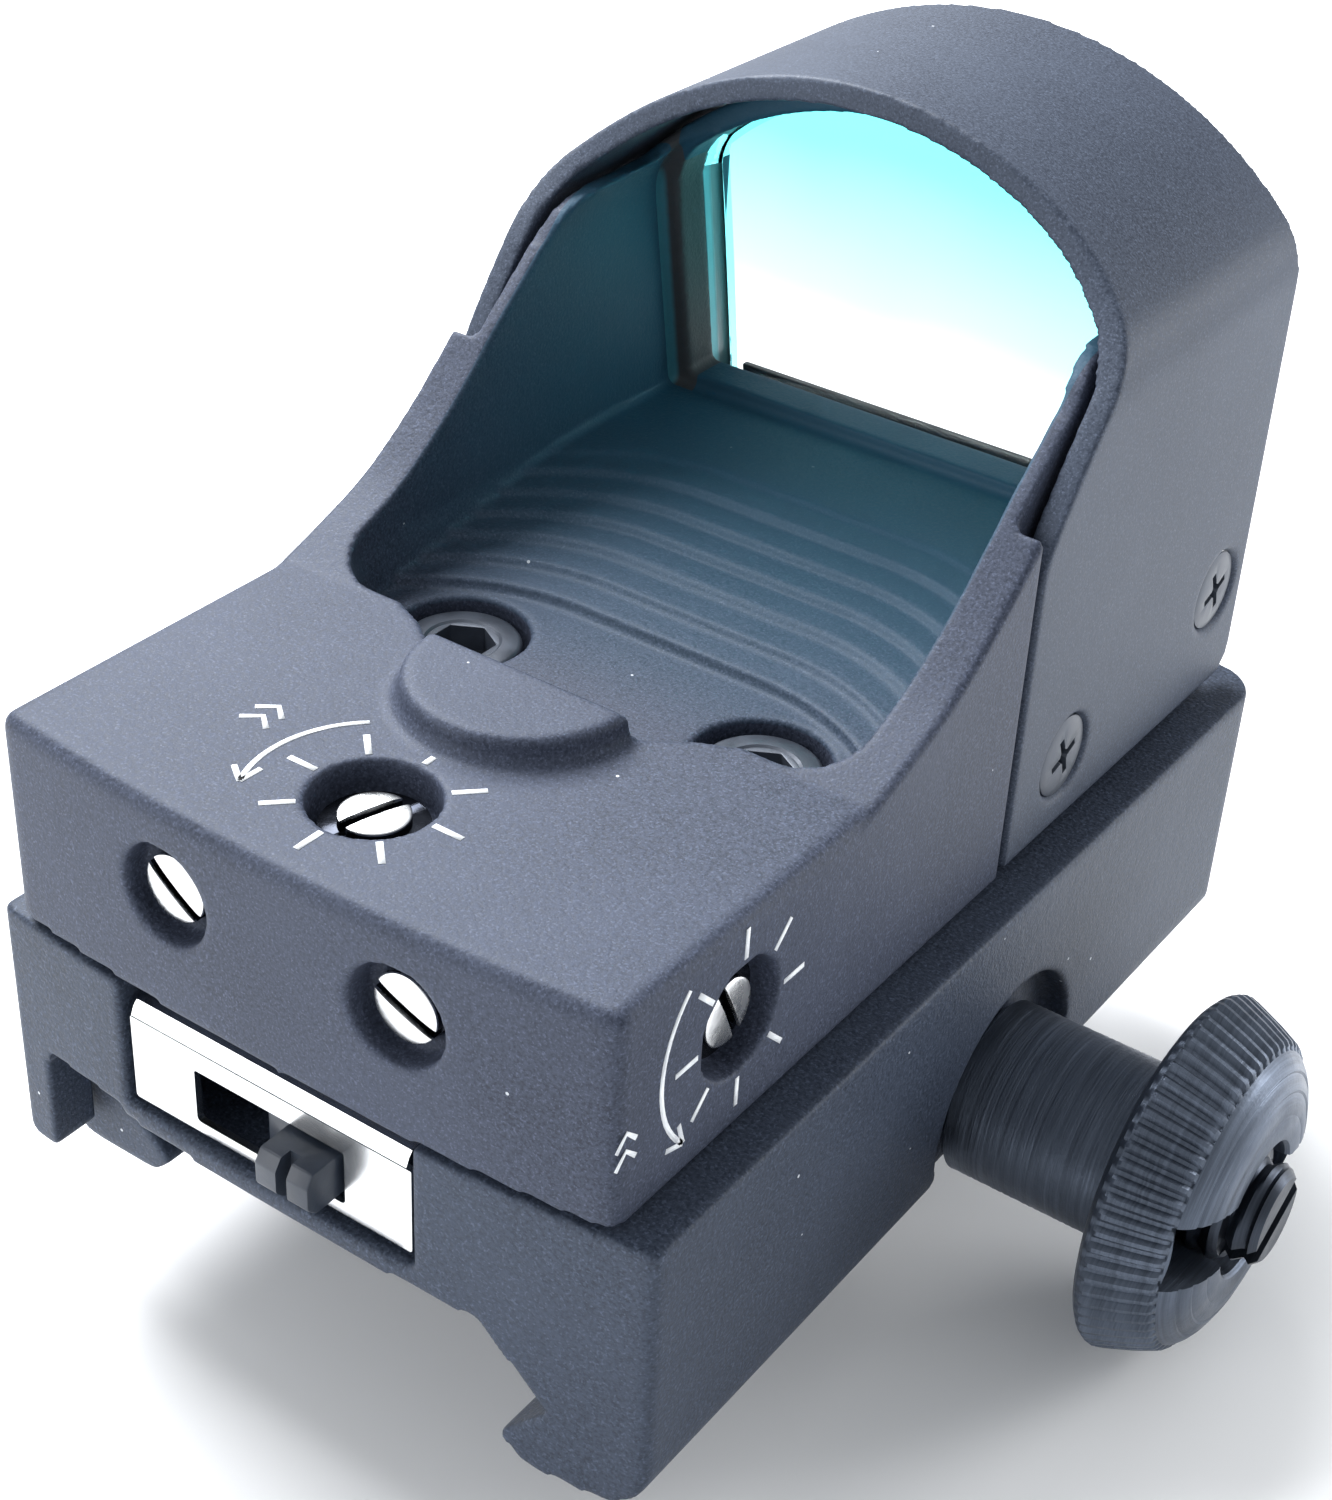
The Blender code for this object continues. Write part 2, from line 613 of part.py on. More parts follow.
def hook_points(sign, outer, bottom_radius):
    """The jaw profile below the roof, from the widest line of the rail round the hook to the outer bottom corner."""
    widest = RAIL_TOP_HALF + RAIL_FLANK_DROP
    tip = widest - HOOK_REACH
    return [(sign * widest, -RAIL_FLANK_DROP, 0), (sign * tip, -RAIL_FLANK_DROP - HOOK_REACH, 0.35),
            (sign * (tip + 0.9), BASE_BOTTOM, 0.8), (sign * outer, BASE_BOTTOM, bottom_radius)]


def make_base(look):
    profile = rounded([(BASE_LEFT, BASE_TOP, 0.35), (BASE_LEFT, LUG_BOTTOM, 0.7), (LUG_INNER, LUG_BOTTOM, 0.3),
                       (LUG_INNER, 0, 0), (RAIL_TOP_HALF, 0, 0), *hook_points(1, BASE_RIGHT, 1.9),
                       (BASE_RIGHT, BASE_TOP, 0.2)])
    base = prism("base", profile, "XZ", BASE_REAR - 1, BASE_FRONT + 1, look)
    plan = [*rear_arc(BASE_LEFT + 0.3, BASE_RIGHT - 0.3, BASE_REAR), (BASE_RIGHT + 0.01, BASE_REAR + 1.3),
            *arc((BASE_RIGHT - 2.2, BASE_FRONT - 2.2), 2.21, 0, 90, 6),
            *arc((BASE_LEFT + 2.2, BASE_FRONT - 2.2), 2.21, 90, 180, 6), (BASE_LEFT - 0.01, BASE_REAR + 1.3)]
    common(base, prism("base_plan", plan, "XY", -20, 20))
    foot = BASE_FRONT - BASE_DRAFT
    draft = [(BASE_FRONT, BASE_TOP + 0.1), (foot, BASE_BOTTOM - 0.1), (30, BASE_BOTTOM - 0.1), (30, BASE_TOP + 0.1)]
    cut(base,
        prism("front_draft", draft, "YZ", -20, 20),
        box("jaw_window", (-20, JAW_REAR - GAP, -20), (-11.9, JAW_FRONT + GAP, 0.05)),
        box("jaw_relief", (-12.0, -30, -1), (-RAIL_TOP_HALF - 0.1, 30, SEAT_RELIEF)),
        box("bolt_relief", (-10, NUT_Y - 2.7, -1), (8.3, NUT_Y + 2.7, SEAT_RELIEF)),
        box("switch_room", (SWITCH_LEFT - GAP, -30, 0.8), (SWITCH_RIGHT + GAP, -16.6, 20)),
        cylinder("bolt_hole", "X", (NUT_Y, NUT_Z), 5, 20, BOLT_R + 0.22),
        cylinder("spot_face", "X", (NUT_Y, NUT_Z), 13.2, 20, 4.9, steps=40),
        turned("seal_groove", "Z", (0, BATTERY_Y, 0), [(10.4, 8), (11.4, 8), (11.4, 5.15), (10.4, 5.15)], None, 48))
    for x in (-MOUNT_X, MOUNT_X):
        cut(base, cylinder("base_thread", "Z", (x, MOUNT_Y), 1.2, 20, 1.75))
    return base


def make_jaw(look):
    profile = rounded([(BASE_LEFT, -0.25, 0.3), (-RAIL_TOP_HALF - 0.25, -0.25, 0),
                       *hook_points(-1, -BASE_LEFT, 1.4)])
    jaw = prism("clamp_jaw", profile, "XZ", JAW_REAR, JAW_FRONT, look)
    cut(jaw,
        cylinder("jaw_hole", "X", (NUT_Y, NUT_Z), -20, 0, BOLT_R + 0.22),
        box("head_room", (-20, NUT_Y - 3.4, -10), (-12.1, NUT_Y + 3.4, 5)))
    return jaw


def make_bolt(look):
    """The cross bolt: a flat head that the jaw keeps from turning, a shank, and a slotted end outside the nut."""
    profile = [(0, 25.6), (1.75, 25.6), (1.95, 25.4), (1.95, 24.6), (BOLT_R + 0.2, 24.3), (BOLT_R + 0.2, 16.0),
               (BOLT_R, 15.8), (BOLT_R, -12.7), (0, -12.7)]
    bolt = turned("clamp_bolt", "X", (0, NUT_Y, NUT_Z), profile, look)
    join(bolt, box("bolt_head", (-13.5, NUT_Y - 3.1, -5.2), (-12.4, NUT_Y + 3.1, -0.7)))
    cut(bolt, slot_cutter("bolt_slot", "X", (NUT_Y, NUT_Z), (24.6, 27), 0.9, 117, 4.0))
    return bolt


def toothed_cone(name, centre, ends, teeth, depth):
    """A short cone along X with straight teeth down its side. Each end is (place, radius over the teeth)."""
    shape = bmesh.new()
    count = 2 * teeth
    rings = []
    for place, radius in ends:
        ring = []
        for k in range(count):
            angle = 2 * math.pi * k / count
            r = radius - depth * (k % 2)
            ring.append(shape.verts.new((place * MM, (centre[0] + r * math.cos(angle)) * MM,
                                         (centre[1] + r * math.sin(angle)) * MM)))
        rings.append(ring)
    for k in range(count):
        after = (k + 1) % count
        shape.faces.new((rings[0][k], rings[1][k], rings[1][after], rings[0][after]))
    for ring in rings:
        shape.faces.new(ring)
    return add(name, finish_mesh(shape, name))


def make_thumb_nut(look):
    """A long neck and a head with a tapered, straight-knurled rim and a domed face with a wide slot."""
    profile = [(0, 24.8), (3.2, 24.8), (4.7, 24.55), (5.5, 24.15), (5.78, 23.85), (5.7, 23.5), (6.55, 21.4),
               (6.75, 21.12), (6.6, 20.92), (6.2, 20.75), (3.5, 20.6), (3.5, 13.55), (0, 13.55)]
    nut = turned("thumb_nut", "X", (0, NUT_Y, NUT_Z), profile, look, 48)
    join(nut, toothed_cone("nut_ridges", (NUT_Y, NUT_Z), [(21.2, 7.02), (23.7, 6.07)], 66, 0.2))
    cut(nut,
        cylinder("nut_bore", "X", (NUT_Y, NUT_Z), 12, 27, 2.65),
        slot_cutter("nut_slot", "X", (NUT_Y, NUT_Z), (23.78, 27), 2.6, 78, 9.0))
    return nut


# ---------------------------------------------------------------- slide switch

def make_switch_shell(look):
    """The bent metal front: a face with its window, and a flange that reaches over the moulded body."""
    shell = box("switch_shell", (SWITCH_LEFT, -22.0, 1.1), (SWITCH_RIGHT, -21.7, 5.2), look)
    join(shell, box("shell_flange", (SWITCH_LEFT, -21.9, 4.9), (SWITCH_RIGHT, -18.0, 5.2)))
    cut(shell, box("shell_window", (-4.4, -30, 1.6), (2.25, -21, 3.8)))
    return shell


def make_switch_slider(look):
    slider = box("switch_slider", (-1.7, -21.4, 1.4), (3.4, -20.3, 4.5), look)
    join(slider, box("knob", (-0.3, -23.5, 1.8), (2.0, -21.0, 3.6)))
    cut(slider, box("knob_notch", (0.55, -25, 1), (1.15, -23.0, 5)))
    return slider


# ---------------------------------------------------------------- assembly

def assemble():
    cast = material("cast_black", BLACK, 0.55, 0.6)
    anodised = material("anodised_black", (0.085, 0.095, 0.125), 0.5, 0.7)
    steel = material("black_steel", (0.05, 0.055, 0.07), 0.35, 0.9)
    nickel = material("nickel", (0.86, 0.87, 0.88), 0.2, 1.0)
    glass = material("coated_glass", (0.4, 0.85, 0.88), 0.05, 0.0)
    rubber = material("rubber", (0.02, 0.02, 0.02), 0.8, 0.0)
    plastic = material("black_plastic", (0.03, 0.03, 0.035), 0.5, 0.0)
    board = material("board", (0.02, 0.18, 0.09), 0.5, 0.0)
    brass = material("brass", (0.8, 0.6, 0.25), 0.3, 1.0)
    spring_steel = material("spring_steel", (0.6, 0.6, 0.62), 0.3, 1.0)
    red = material("red_emitter", (0.7, 0.03, 0.02), 0.3, 0.0)

    make_housing(cast)
    make_shield(cast)
    for side in ("right", "left"):
        for end in SHIELD_SCREWS:
            make_shield_screw(side, end, steel)
        make_lock_screw(side, nickel)
        make_mount_screw(side, steel)
    make_lens(glass)
    make_lens_seal(rubber)
    make_elevation_screw(nickel)
    make_windage_screw(nickel)
    make_windage_block(brass)
    make_elevation_arm(brass)
    make_spring("elevation_spring", "Z", (0, ELEVATION_Y), 7.8, 8.95, 1.3, 0.14, 2, spring_steel)
    make_spring("windage_spring", "X", (WINDAGE_Y, WINDAGE_Z), -10.05, -6.35, 1.3, 0.16, 3, spring_steel)
    box("led_board", (-1.5, -12.0, 12.9), (1.5, -11.7, 14.3), board)
    box("led_emitter", (-0.5, -11.45, 13.6), (0.5, -11.1, 14.2), red)
    box("emitter_window", (-1.65, -10.3, 12.95), (1.65, -10.05, 14.85), glass)
    make_circuit_board(board)
    box("driver_chip", (-9.6, -12.4, 7.8), (-7.4, -10.2, 8.7), plastic)
    make_battery(nickel)
    make_contact_positive(brass)
    make_contact_negative(brass)
    make_base(anodised)
    make_base_seal(rubber)
    make_switch_shell(nickel)
    box("switch_body", (-6.9, -20.0, 1.3), (4.7, -17.8, 4.6), plastic)
    make_switch_slider(plastic)
    for tag, x in (("a", -5.0), ("b", -1.1), ("c", 2.8)):
        box("switch_terminal_" + tag, (x - 0.4, -17.55, 2.0), (x + 0.4, -17.25, 6.6), brass)
    make_jaw(anodised)
    make_bolt(steel)
    make_thumb_nut(steel)


assemble()
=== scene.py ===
"""Looks for the red dot finder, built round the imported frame.

Lengths are in millimetres until a piece is placed. The materials read the object's own space, in metres.
"""

import json
import math

import bmesh  # noqa: E402
import bpy  # noqa: E402
from mathutils import Matrix, Vector  # noqa: E402

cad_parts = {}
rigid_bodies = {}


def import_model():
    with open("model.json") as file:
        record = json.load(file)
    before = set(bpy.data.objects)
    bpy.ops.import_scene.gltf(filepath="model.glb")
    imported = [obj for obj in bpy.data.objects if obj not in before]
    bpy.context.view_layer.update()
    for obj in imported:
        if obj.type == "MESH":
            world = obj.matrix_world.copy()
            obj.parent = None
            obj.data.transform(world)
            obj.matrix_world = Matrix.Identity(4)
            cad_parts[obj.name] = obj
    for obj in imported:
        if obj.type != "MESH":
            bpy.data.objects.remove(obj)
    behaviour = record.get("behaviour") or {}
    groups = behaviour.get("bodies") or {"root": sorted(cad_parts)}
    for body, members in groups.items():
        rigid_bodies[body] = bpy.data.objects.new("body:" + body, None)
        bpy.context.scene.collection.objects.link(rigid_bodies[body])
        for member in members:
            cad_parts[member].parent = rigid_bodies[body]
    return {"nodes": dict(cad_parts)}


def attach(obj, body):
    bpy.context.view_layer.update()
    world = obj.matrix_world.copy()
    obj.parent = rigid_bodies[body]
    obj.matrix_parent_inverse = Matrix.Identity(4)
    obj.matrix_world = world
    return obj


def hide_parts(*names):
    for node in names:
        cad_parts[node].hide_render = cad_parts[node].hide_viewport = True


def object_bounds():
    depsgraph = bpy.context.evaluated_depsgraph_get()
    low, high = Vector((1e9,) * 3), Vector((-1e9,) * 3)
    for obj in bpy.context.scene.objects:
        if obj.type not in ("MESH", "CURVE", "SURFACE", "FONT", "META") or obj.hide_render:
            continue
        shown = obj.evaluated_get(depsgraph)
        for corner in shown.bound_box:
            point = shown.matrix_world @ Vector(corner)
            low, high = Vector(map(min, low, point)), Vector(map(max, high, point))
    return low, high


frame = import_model()
cad_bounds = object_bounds()

MM = 0.001

# The same driving sizes as the solid model
ARCH_Z = 14.1
LENS_TILT = math.radians(10)
LENS_Z = 20.0
SEAT_OUTER, LENS_SEAT, FRAME_FACE = 12.8, 14.7, 18.05
LENS_THICK, LENS_R, LENS_GAP = 2.4, 400.0, 0.42
LENS_ARCH = (10.45, 14.7, 13.75)
SHIELD_FRONT = 20.45
DECK, DECK_FRONT = 14.45, -7.8
CHANNEL_HALF = 10.9
ELEVATION = (0.0, -17.65)
WINDAGE = (-15.3, 10.5)
LOCK_X, LOCK_Z = 4.82, 11.0
MOUNT_X, MOUNT_Y = 6.6, -5.3
NUT = (1.5, -2.95)
SHIELD_SCREWS = {"rear": (5.8, 9.4), "front": (17.9, 11.1)}
REAR = -22.5
SIDE_WALL = 12.75
ELEVATION_FACE, WINDAGE_FACE, LOCK_FACE = 13.84, 12.25, -21.84

SCRATCH = bpy.data.collections.new("scratch")
bpy.context.scene.collection.children.link(SCRATCH)


# ---------------------------------------------------------------- outlines

def arc(centre, radius, start, end, steps):
    angles = [math.radians(start + (end - start) * i / steps) for i in range(steps + 1)]
    return [(centre[0] + radius * math.cos(a), centre[1] + radius * math.sin(a)) for a in angles]


def rounded(corners, steps=6):
    """A closed outline from (u, v, radius) corners, each with a fillet of its radius."""
    points = []
    for i, (u, v, radius) in enumerate(corners):
        here = Vector((u, v))
        if not radius:
            points.append((u, v))
            continue
        back = (Vector(corners[i - 1][:2]) - here).normalized()
        ahead = (Vector(corners[(i + 1) % len(corners)][:2]) - here).normalized()
        half = math.acos(max(-1.0, min(1.0, back.dot(ahead)))) / 2
        reach = radius / math.tan(half)
        centre = here + (back + ahead).normalized() * (radius / math.sin(half))
        first = here + back * reach - centre
        turn = first.angle_signed(here + ahead * reach - centre)
        for k in range(steps + 1):
            spoke = first.copy()
            spoke.rotate(Matrix.Rotation(-turn * k / steps, 2))
            points.append(tuple(centre + spoke))
    return points


def flowing(knots, steps=6):
    """A smooth open line through the knots."""
    ends = [knots[0], *knots, knots[-1]]
    line = []
    for a, b, c, d in zip(ends, ends[1:], ends[2:], ends[3:]):
        for k in range(steps):
            t = k / steps
            line.append(tuple(
                0.5 * (2 * q + (r - p) * t
                       + (2 * p - 5 * q + 4 * r - s) * t**2
                       + (3 * q - p - 3 * r + s) * t**3)
                for p, q, r, s in zip(a, b, c, d)
            ))
    return [*line, knots[-1]]


def bend(first, corner, last, steps=8):
    """A curve from the first point to the last that leans towards the corner."""
    return [
        tuple((1 - t) ** 2 * a + 2 * t * (1 - t) * b + t * t * c for a, b, c in zip(first, corner, last))
        for t in (k / steps for k in range(steps + 1))
    ]


def arch(half, radius, floor, steps=48, soften=1.4):
    """A flat-bottomed arch: upright sides, softened shoulders and a round top."""
    shoulder = ARCH_Z + math.sqrt(radius**2 - half**2)
    start = math.degrees(math.asin((shoulder - ARCH_Z) / radius)) + math.degrees(soften / radius)
    top = arc((0, ARCH_Z), radius, start, 180 - start, steps)
    right = bend((half, shoulder - soften), (half, shoulder), top[0])
    left = bend(top[-1], (-half, shoulder), (-half, shoulder - soften))
    return [(-half, floor), (half, floor), *right, *top[1:-1], *left]


def rear_arc(left, right, rear=REAR, steps=24):
    """The slightly crowned rear edge, in plan."""
    xs = [left + (right - left) * i / steps for i in range(steps + 1)]
    return [(x, rear + 0.005 * x * x) for x in xs]


def pocket_outline(front, inset=0.0):
    """The sunken floor in plan: soft rear corners, and a front edge that curves back at both ends."""
    half, rear = CHANNEL_HALF - inset, DECK_FRONT + inset
    corner, curve, straight = 2.2, 9.0, 4.0
    sweep = [half * (1 - k / 24) for k in range(49)]
    edge = [(x, front - curve + math.sqrt(curve**2 - max(0, abs(x) - straight) ** 2)) for x in sweep]
    left = arc((-half + corner, rear + corner), corner, 180, 270, 10)
    right = arc((half - corner, rear + corner), corner, 270, 360, 10)
    return [*left, *right, *edge]


# ---------------------------------------------------------------- solids

def scratch(name, mesh):
    made = bpy.data.objects.new(name, mesh)
    SCRATCH.objects.link(made)
    made.hide_render = True
    return made


def finish_mesh(shape, name):
    bmesh.ops.recalc_face_normals(shape, faces=shape.faces[:])
    if shape.calc_volume(signed=True) < 0:
        bmesh.ops.reverse_faces(shape, faces=shape.faces[:])
    mesh = bpy.data.meshes.new(name)
    shape.to_mesh(mesh)
    shape.free()
    return mesh


def box(low, high, name="box"):
    shape = bmesh.new()
    size = [b - a for a, b in zip(low, high)]
    middle = [(b + a) / 2 for a, b in zip(low, high)]
    bmesh.ops.create_cube(shape, size=1.0, matrix=Matrix.Translation(middle) @ Matrix.Diagonal((*size, 1)))
    return scratch(name, finish_mesh(shape, name))


TURNS = {
    "X": Matrix.Rotation(math.pi / 2, 4, "Y"),
    "Y": Matrix.Rotation(-math.pi / 2, 4, "X"),
    "Z": Matrix.Identity(4),
}


def along(axis, centre, at):
    """The point on an axis, given its two other coordinates and the place along it."""
    middle = list(centre)
    middle.insert("XYZ".index(axis), at)
    return middle


def cylinder(axis, centre, low, high, radius, steps=64, end_radius=None, name="cylinder"):
    shape = bmesh.new()
    far = radius if end_radius is None else end_radius
    spot = Matrix.Translation(along(axis, centre, (low + high) / 2)) @ TURNS[axis]
    bmesh.ops.create_cone(shape, cap_ends=True, segments=steps, radius1=radius, radius2=far,
                          depth=high - low, matrix=spot)
    return scratch(name, finish_mesh(shape, name))


def prism(outline, plane, low, high, name="prism"):
    """A flat outline in the named plane, extruded between two places on the third axis."""
    curve = bpy.data.curves.new(name, "CURVE")
    curve.dimensions = "2D"
    curve.fill_mode = "BOTH"
    curve.extrude = (high - low) / 2
    spline = curve.splines.new("POLY")
    spline.points.add(len(outline) - 1)
    for point, (u, v) in zip(spline.points, outline):
        point.co = (u, v, 0, 1)
    spline.use_cyclic_u = True
    guide = bpy.data.objects.new(name, curve)
    SCRATCH.objects.link(guide)
    mesh = bpy.data.meshes.new_from_object(guide)
    bpy.data.objects.remove(guide, do_unlink=True)
    shape = bmesh.new()
    shape.from_mesh(mesh)
    bpy.data.meshes.remove(mesh)
    bmesh.ops.remove_doubles(shape, verts=shape.verts[:], dist=1e-4)
    bmesh.ops.dissolve_limit(shape, angle_limit=math.radians(0.2), verts=shape.verts[:], edges=shape.edges[:])
    middle = (low + high) / 2
    for vert in shape.verts:
        u, v, w = vert.co
        w += middle
        vert.co = {"XY": (u, v, w), "XZ": (u, w, v), "YZ": (w, u, v)}[plane]
    return scratch(name, finish_mesh(shape, name))


def lathe(axis, origin, profile, steps=96, name="lathe"):
    """A turned solid. The profile is (radius, place) along the axis, and starts and ends on it."""
    shape = bmesh.new()
    turns = [2 * math.pi * k / steps for k in range(steps)]
    rings = []
    for radius, at in profile:
        if radius <= 0:
            rings.append([shape.verts.new((0, 0, at))])
        else:
            rings.append([shape.verts.new((radius * math.cos(a), radius * math.sin(a), at)) for a in turns])
    for first, second in zip(rings, rings[1:]):
        for k in range(steps):
            n = (k + 1) % steps
            if len(first) == 1:
                shape.faces.new((first[0], second[n], second[k]))
            elif len(second) == 1:
                shape.faces.new((first[k], first[n], second[0]))
            else:
                shape.faces.new((first[k], first[n], second[n], second[k]))
    shape.transform(Matrix.Translation(origin) @ TURNS[axis])
    return scratch(name, finish_mesh(shape, name))


def combine(piece, operation, others):
    for other in others:
        change = piece.modifiers.new(operation, "BOOLEAN")
        change.operation = operation
        change.object = other
        change.solver = "EXACT"
    return piece


def cut(piece, *others):
    return combine(piece, "DIFFERENCE", others)


def join(piece, *others):
    return combine(piece, "UNION", others)


def common(piece, *others):
    return combine(piece, "INTERSECT", others)


def bevel(piece, width, segments=3, angle=35):
    change = piece.modifiers.new("bevel", "BEVEL")
    change.width = width
    change.segments = segments
    change.limit_method = "ANGLE"
    change.angle_limit = math.radians(angle)
    change.use_clamp_overlap = True
    change.harden_normals = False
    return piece


def bake(piece):
    """Replaces the mesh with what its modifiers make of it."""
    bpy.context.view_layer.update()
    graph = bpy.context.evaluated_depsgraph_get()
    mesh = bpy.data.meshes.new_from_object(piece.evaluated_get(graph))
    piece.modifiers.clear()
    piece.data = mesh
    return piece


def soften(piece, voxel, passes, keep):
    """Gives a boolean solid the soft edges of a blasted casting: a fine even mesh, smoothed, then thinned."""
    change = piece.modifiers.new("even", "REMESH")
    change.mode = "VOXEL"
    change.voxel_size = voxel * 1.0
    bake(piece)
    change = piece.modifiers.new("smooth", "SMOOTH")
    change.factor = 0.5
    change.iterations = max(1, round(passes * (1.0)))
    bake(piece)
    if keep < 1:
        change = piece.modifiers.new("thin", "DECIMATE")
        change.ratio = keep
        bake(piece)
    return piece


def behind_plane(at):
    """A large block whose front face is the leaning plane that crosses LENS_Z at this place."""
    block = box((-30, -60, -30), (30, 0, 30))
    block.matrix_world = Matrix.Translation((0, at, LENS_Z)) @ Matrix.Rotation(LENS_TILT, 4, "X")
    return block


def bar(axis, centre, low, high, width, turn, reach=9.0):
    """A bar across an axis, for a screwdriver slot."""
    made = box((-reach, -width / 2, -(high - low) / 2), (reach, width / 2, (high - low) / 2))
    made.matrix_world = (Matrix.Translation(along(axis, centre, (low + high) / 2)) @ TURNS[axis]
                         @ Matrix.Rotation(math.radians(turn), 4, "Z"))
    return made


def place(piece, name, body, look, nodes=(), slot=None, sharp=None):
    """Turns a finished solid into a shown piece, in metres, on its CAD body."""
    mesh = piece.data
    mesh.transform(Matrix.Scale(MM, 4) @ piece.matrix_world)
    piece.matrix_world = Matrix.Identity(4)
    SCRATCH.objects.unlink(piece)
    bpy.context.scene.collection.objects.link(piece)
    piece.hide_render = False
    piece.name = mesh.name = name
    mesh.materials.clear()
    mesh.materials.append(look)
    mesh.shade_smooth()
    if sharp:
        mesh.set_sharp_from_angle(angle=math.radians(sharp))
    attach(piece, body)
    if nodes:
        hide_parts(*nodes)
    return piece


# ---------------------------------------------------------------- materials

class Look:
    """A Principled material whose colour, roughness and bump come from nodes in the object's own space."""

    def __init__(self, name, colour, roughness, metallic, **sockets):
        self.made = bpy.data.materials.new(name)
        self.made.use_nodes = True
        self.tree = self.made.node_tree
        self.shader = self.tree.nodes["Principled BSDF"]
        self.set(**{"Base Color": (*colour, 1.0), "Roughness": roughness, "Metallic": metallic, **sockets})
        self.normal = None
        self.coords = self.node("ShaderNodeTexCoord").outputs["Object"]

    def set(self, **sockets):
        for key, value in sockets.items():
            self.shader.inputs[key].default_value = value

    def node(self, kind, inputs=(), **settings):
        made = self.tree.nodes.new(kind)
        for key, value in settings.items():
            setattr(made, key, value)
        for key, value in dict(inputs).items():
            if isinstance(value, bpy.types.NodeSocket):
                self.tree.links.new(value, made.inputs[key])
            else:
                made.inputs[key].default_value = value
        return made

    def stretched(self, scale):
        return self.node("ShaderNodeMapping", {"Vector": self.coords, "Scale": scale}).outputs["Vector"]

    def noise(self, scale, detail=3.0, roughness=0.5, vector=None):
        """Noise with this many features a millimetre."""
        inputs = {"Vector": vector or self.coords, "Scale": scale / MM, "Detail": detail,
                  "Roughness": roughness}
        return self.node("ShaderNodeTexNoise", inputs).outputs["Fac"]

    def ramp(self, value, low, high, at=(0.0, 1.0)):
        """Maps a value between two places on a ramp to a range of numbers."""
        inputs = {"Value": value, "From Min": at[0], "From Max": at[1], "To Min": low, "To Max": high}
        return self.node("ShaderNodeMapRange", inputs).outputs["Result"]

    def mix(self, factor, first, second):
        """Blends two colours, each a socket or three numbers."""
        made = self.node("ShaderNodeMix", data_type="RGBA")
        made.clamp_factor = True
        for socket, value in ((made.inputs[0], factor), (made.inputs[6], first), (made.inputs[7], second)):
            if isinstance(value, bpy.types.NodeSocket):
                self.tree.links.new(value, socket)
            elif isinstance(value, tuple):
                socket.default_value = (*value, 1.0)
            else:
                socket.default_value = value
        return made.outputs[2]

    def math(self, operation, first, second=0.5):
        return self.node("ShaderNodeMath", {0: first, 1: second}, operation=operation).outputs[0]

    def both(self, *tests):
        """One where every test is one."""
        result = tests[0]
        for test in tests[1:]:
            result = self.math("MULTIPLY", result, test)
        return result

    def places(self):
        split = self.node("ShaderNodeSeparateXYZ", {"Vector": self.coords})
        return [split.outputs[name] for name in "XYZ"]

    def lean(self, deep, up):
        """Where a plane through the point that leans like the lens crosses Z = 0."""
        return self.math("ADD", deep, self.math("MULTIPLY", up, math.tan(LENS_TILT)))

    def use(self, socket, value):
        self.tree.links.new(value, self.shader.inputs[socket])

    def bump(self, height, distance, strength=1.0):
        """Adds a bump of this depth in millimetres on top of those already there."""
        inputs = {"Height": height, "Distance": distance * MM, "Strength": strength}
        if self.normal:
            inputs["Normal"] = self.normal
        self.normal = self.node("ShaderNodeBump", inputs).outputs["Normal"]
        self.use("Normal", self.normal)


def paint_lens_light(look, colour, lens_light):
    """Painted light: the cyan that the coated lens throws on the walls and floor of the channel behind it.

    The step that the lens lies against is painted in two bands, dark inside and painted cyan lens light at
    its rim."""
    across, deep, up = look.places()
    inside = look.math("LESS_THAN", look.math("ABSOLUTE", across), 0.01105)
    ahead = look.ramp(deep, 0.0, 1.0, (-0.006, 0.012))
    above = look.math("GREATER_THAN", up, 0.0122)
    lean = look.lean(deep, up)
    back = LENS_Z * MM * math.tan(LENS_TILT)
    channel = look.both(inside, above, look.math("LESS_THAN", lean, back + 0.0152))
    # Painted cyan light from the lens on the channel walls and floor, strongest near the lens.
    colour = look.mix(look.math("MULTIPLY", look.both(channel, ahead), 0.9), colour, lens_light)
    width = look.math("ABSOLUTE", across)
    # The step below the lens: a dark band, and painted cyan lens light at its rim.
    step = look.both(look.math("GREATER_THAN", lean, back + 0.0124), channel,
                     look.math("GREATER_THAN", width, 0.0097))
    rim = look.ramp(width, 0, 1, (0.01055, 0.01075))
    return look.mix(step, colour, look.mix(rim, (0.060, 0.066, 0.070), (0.05, 0.20, 0.25)))


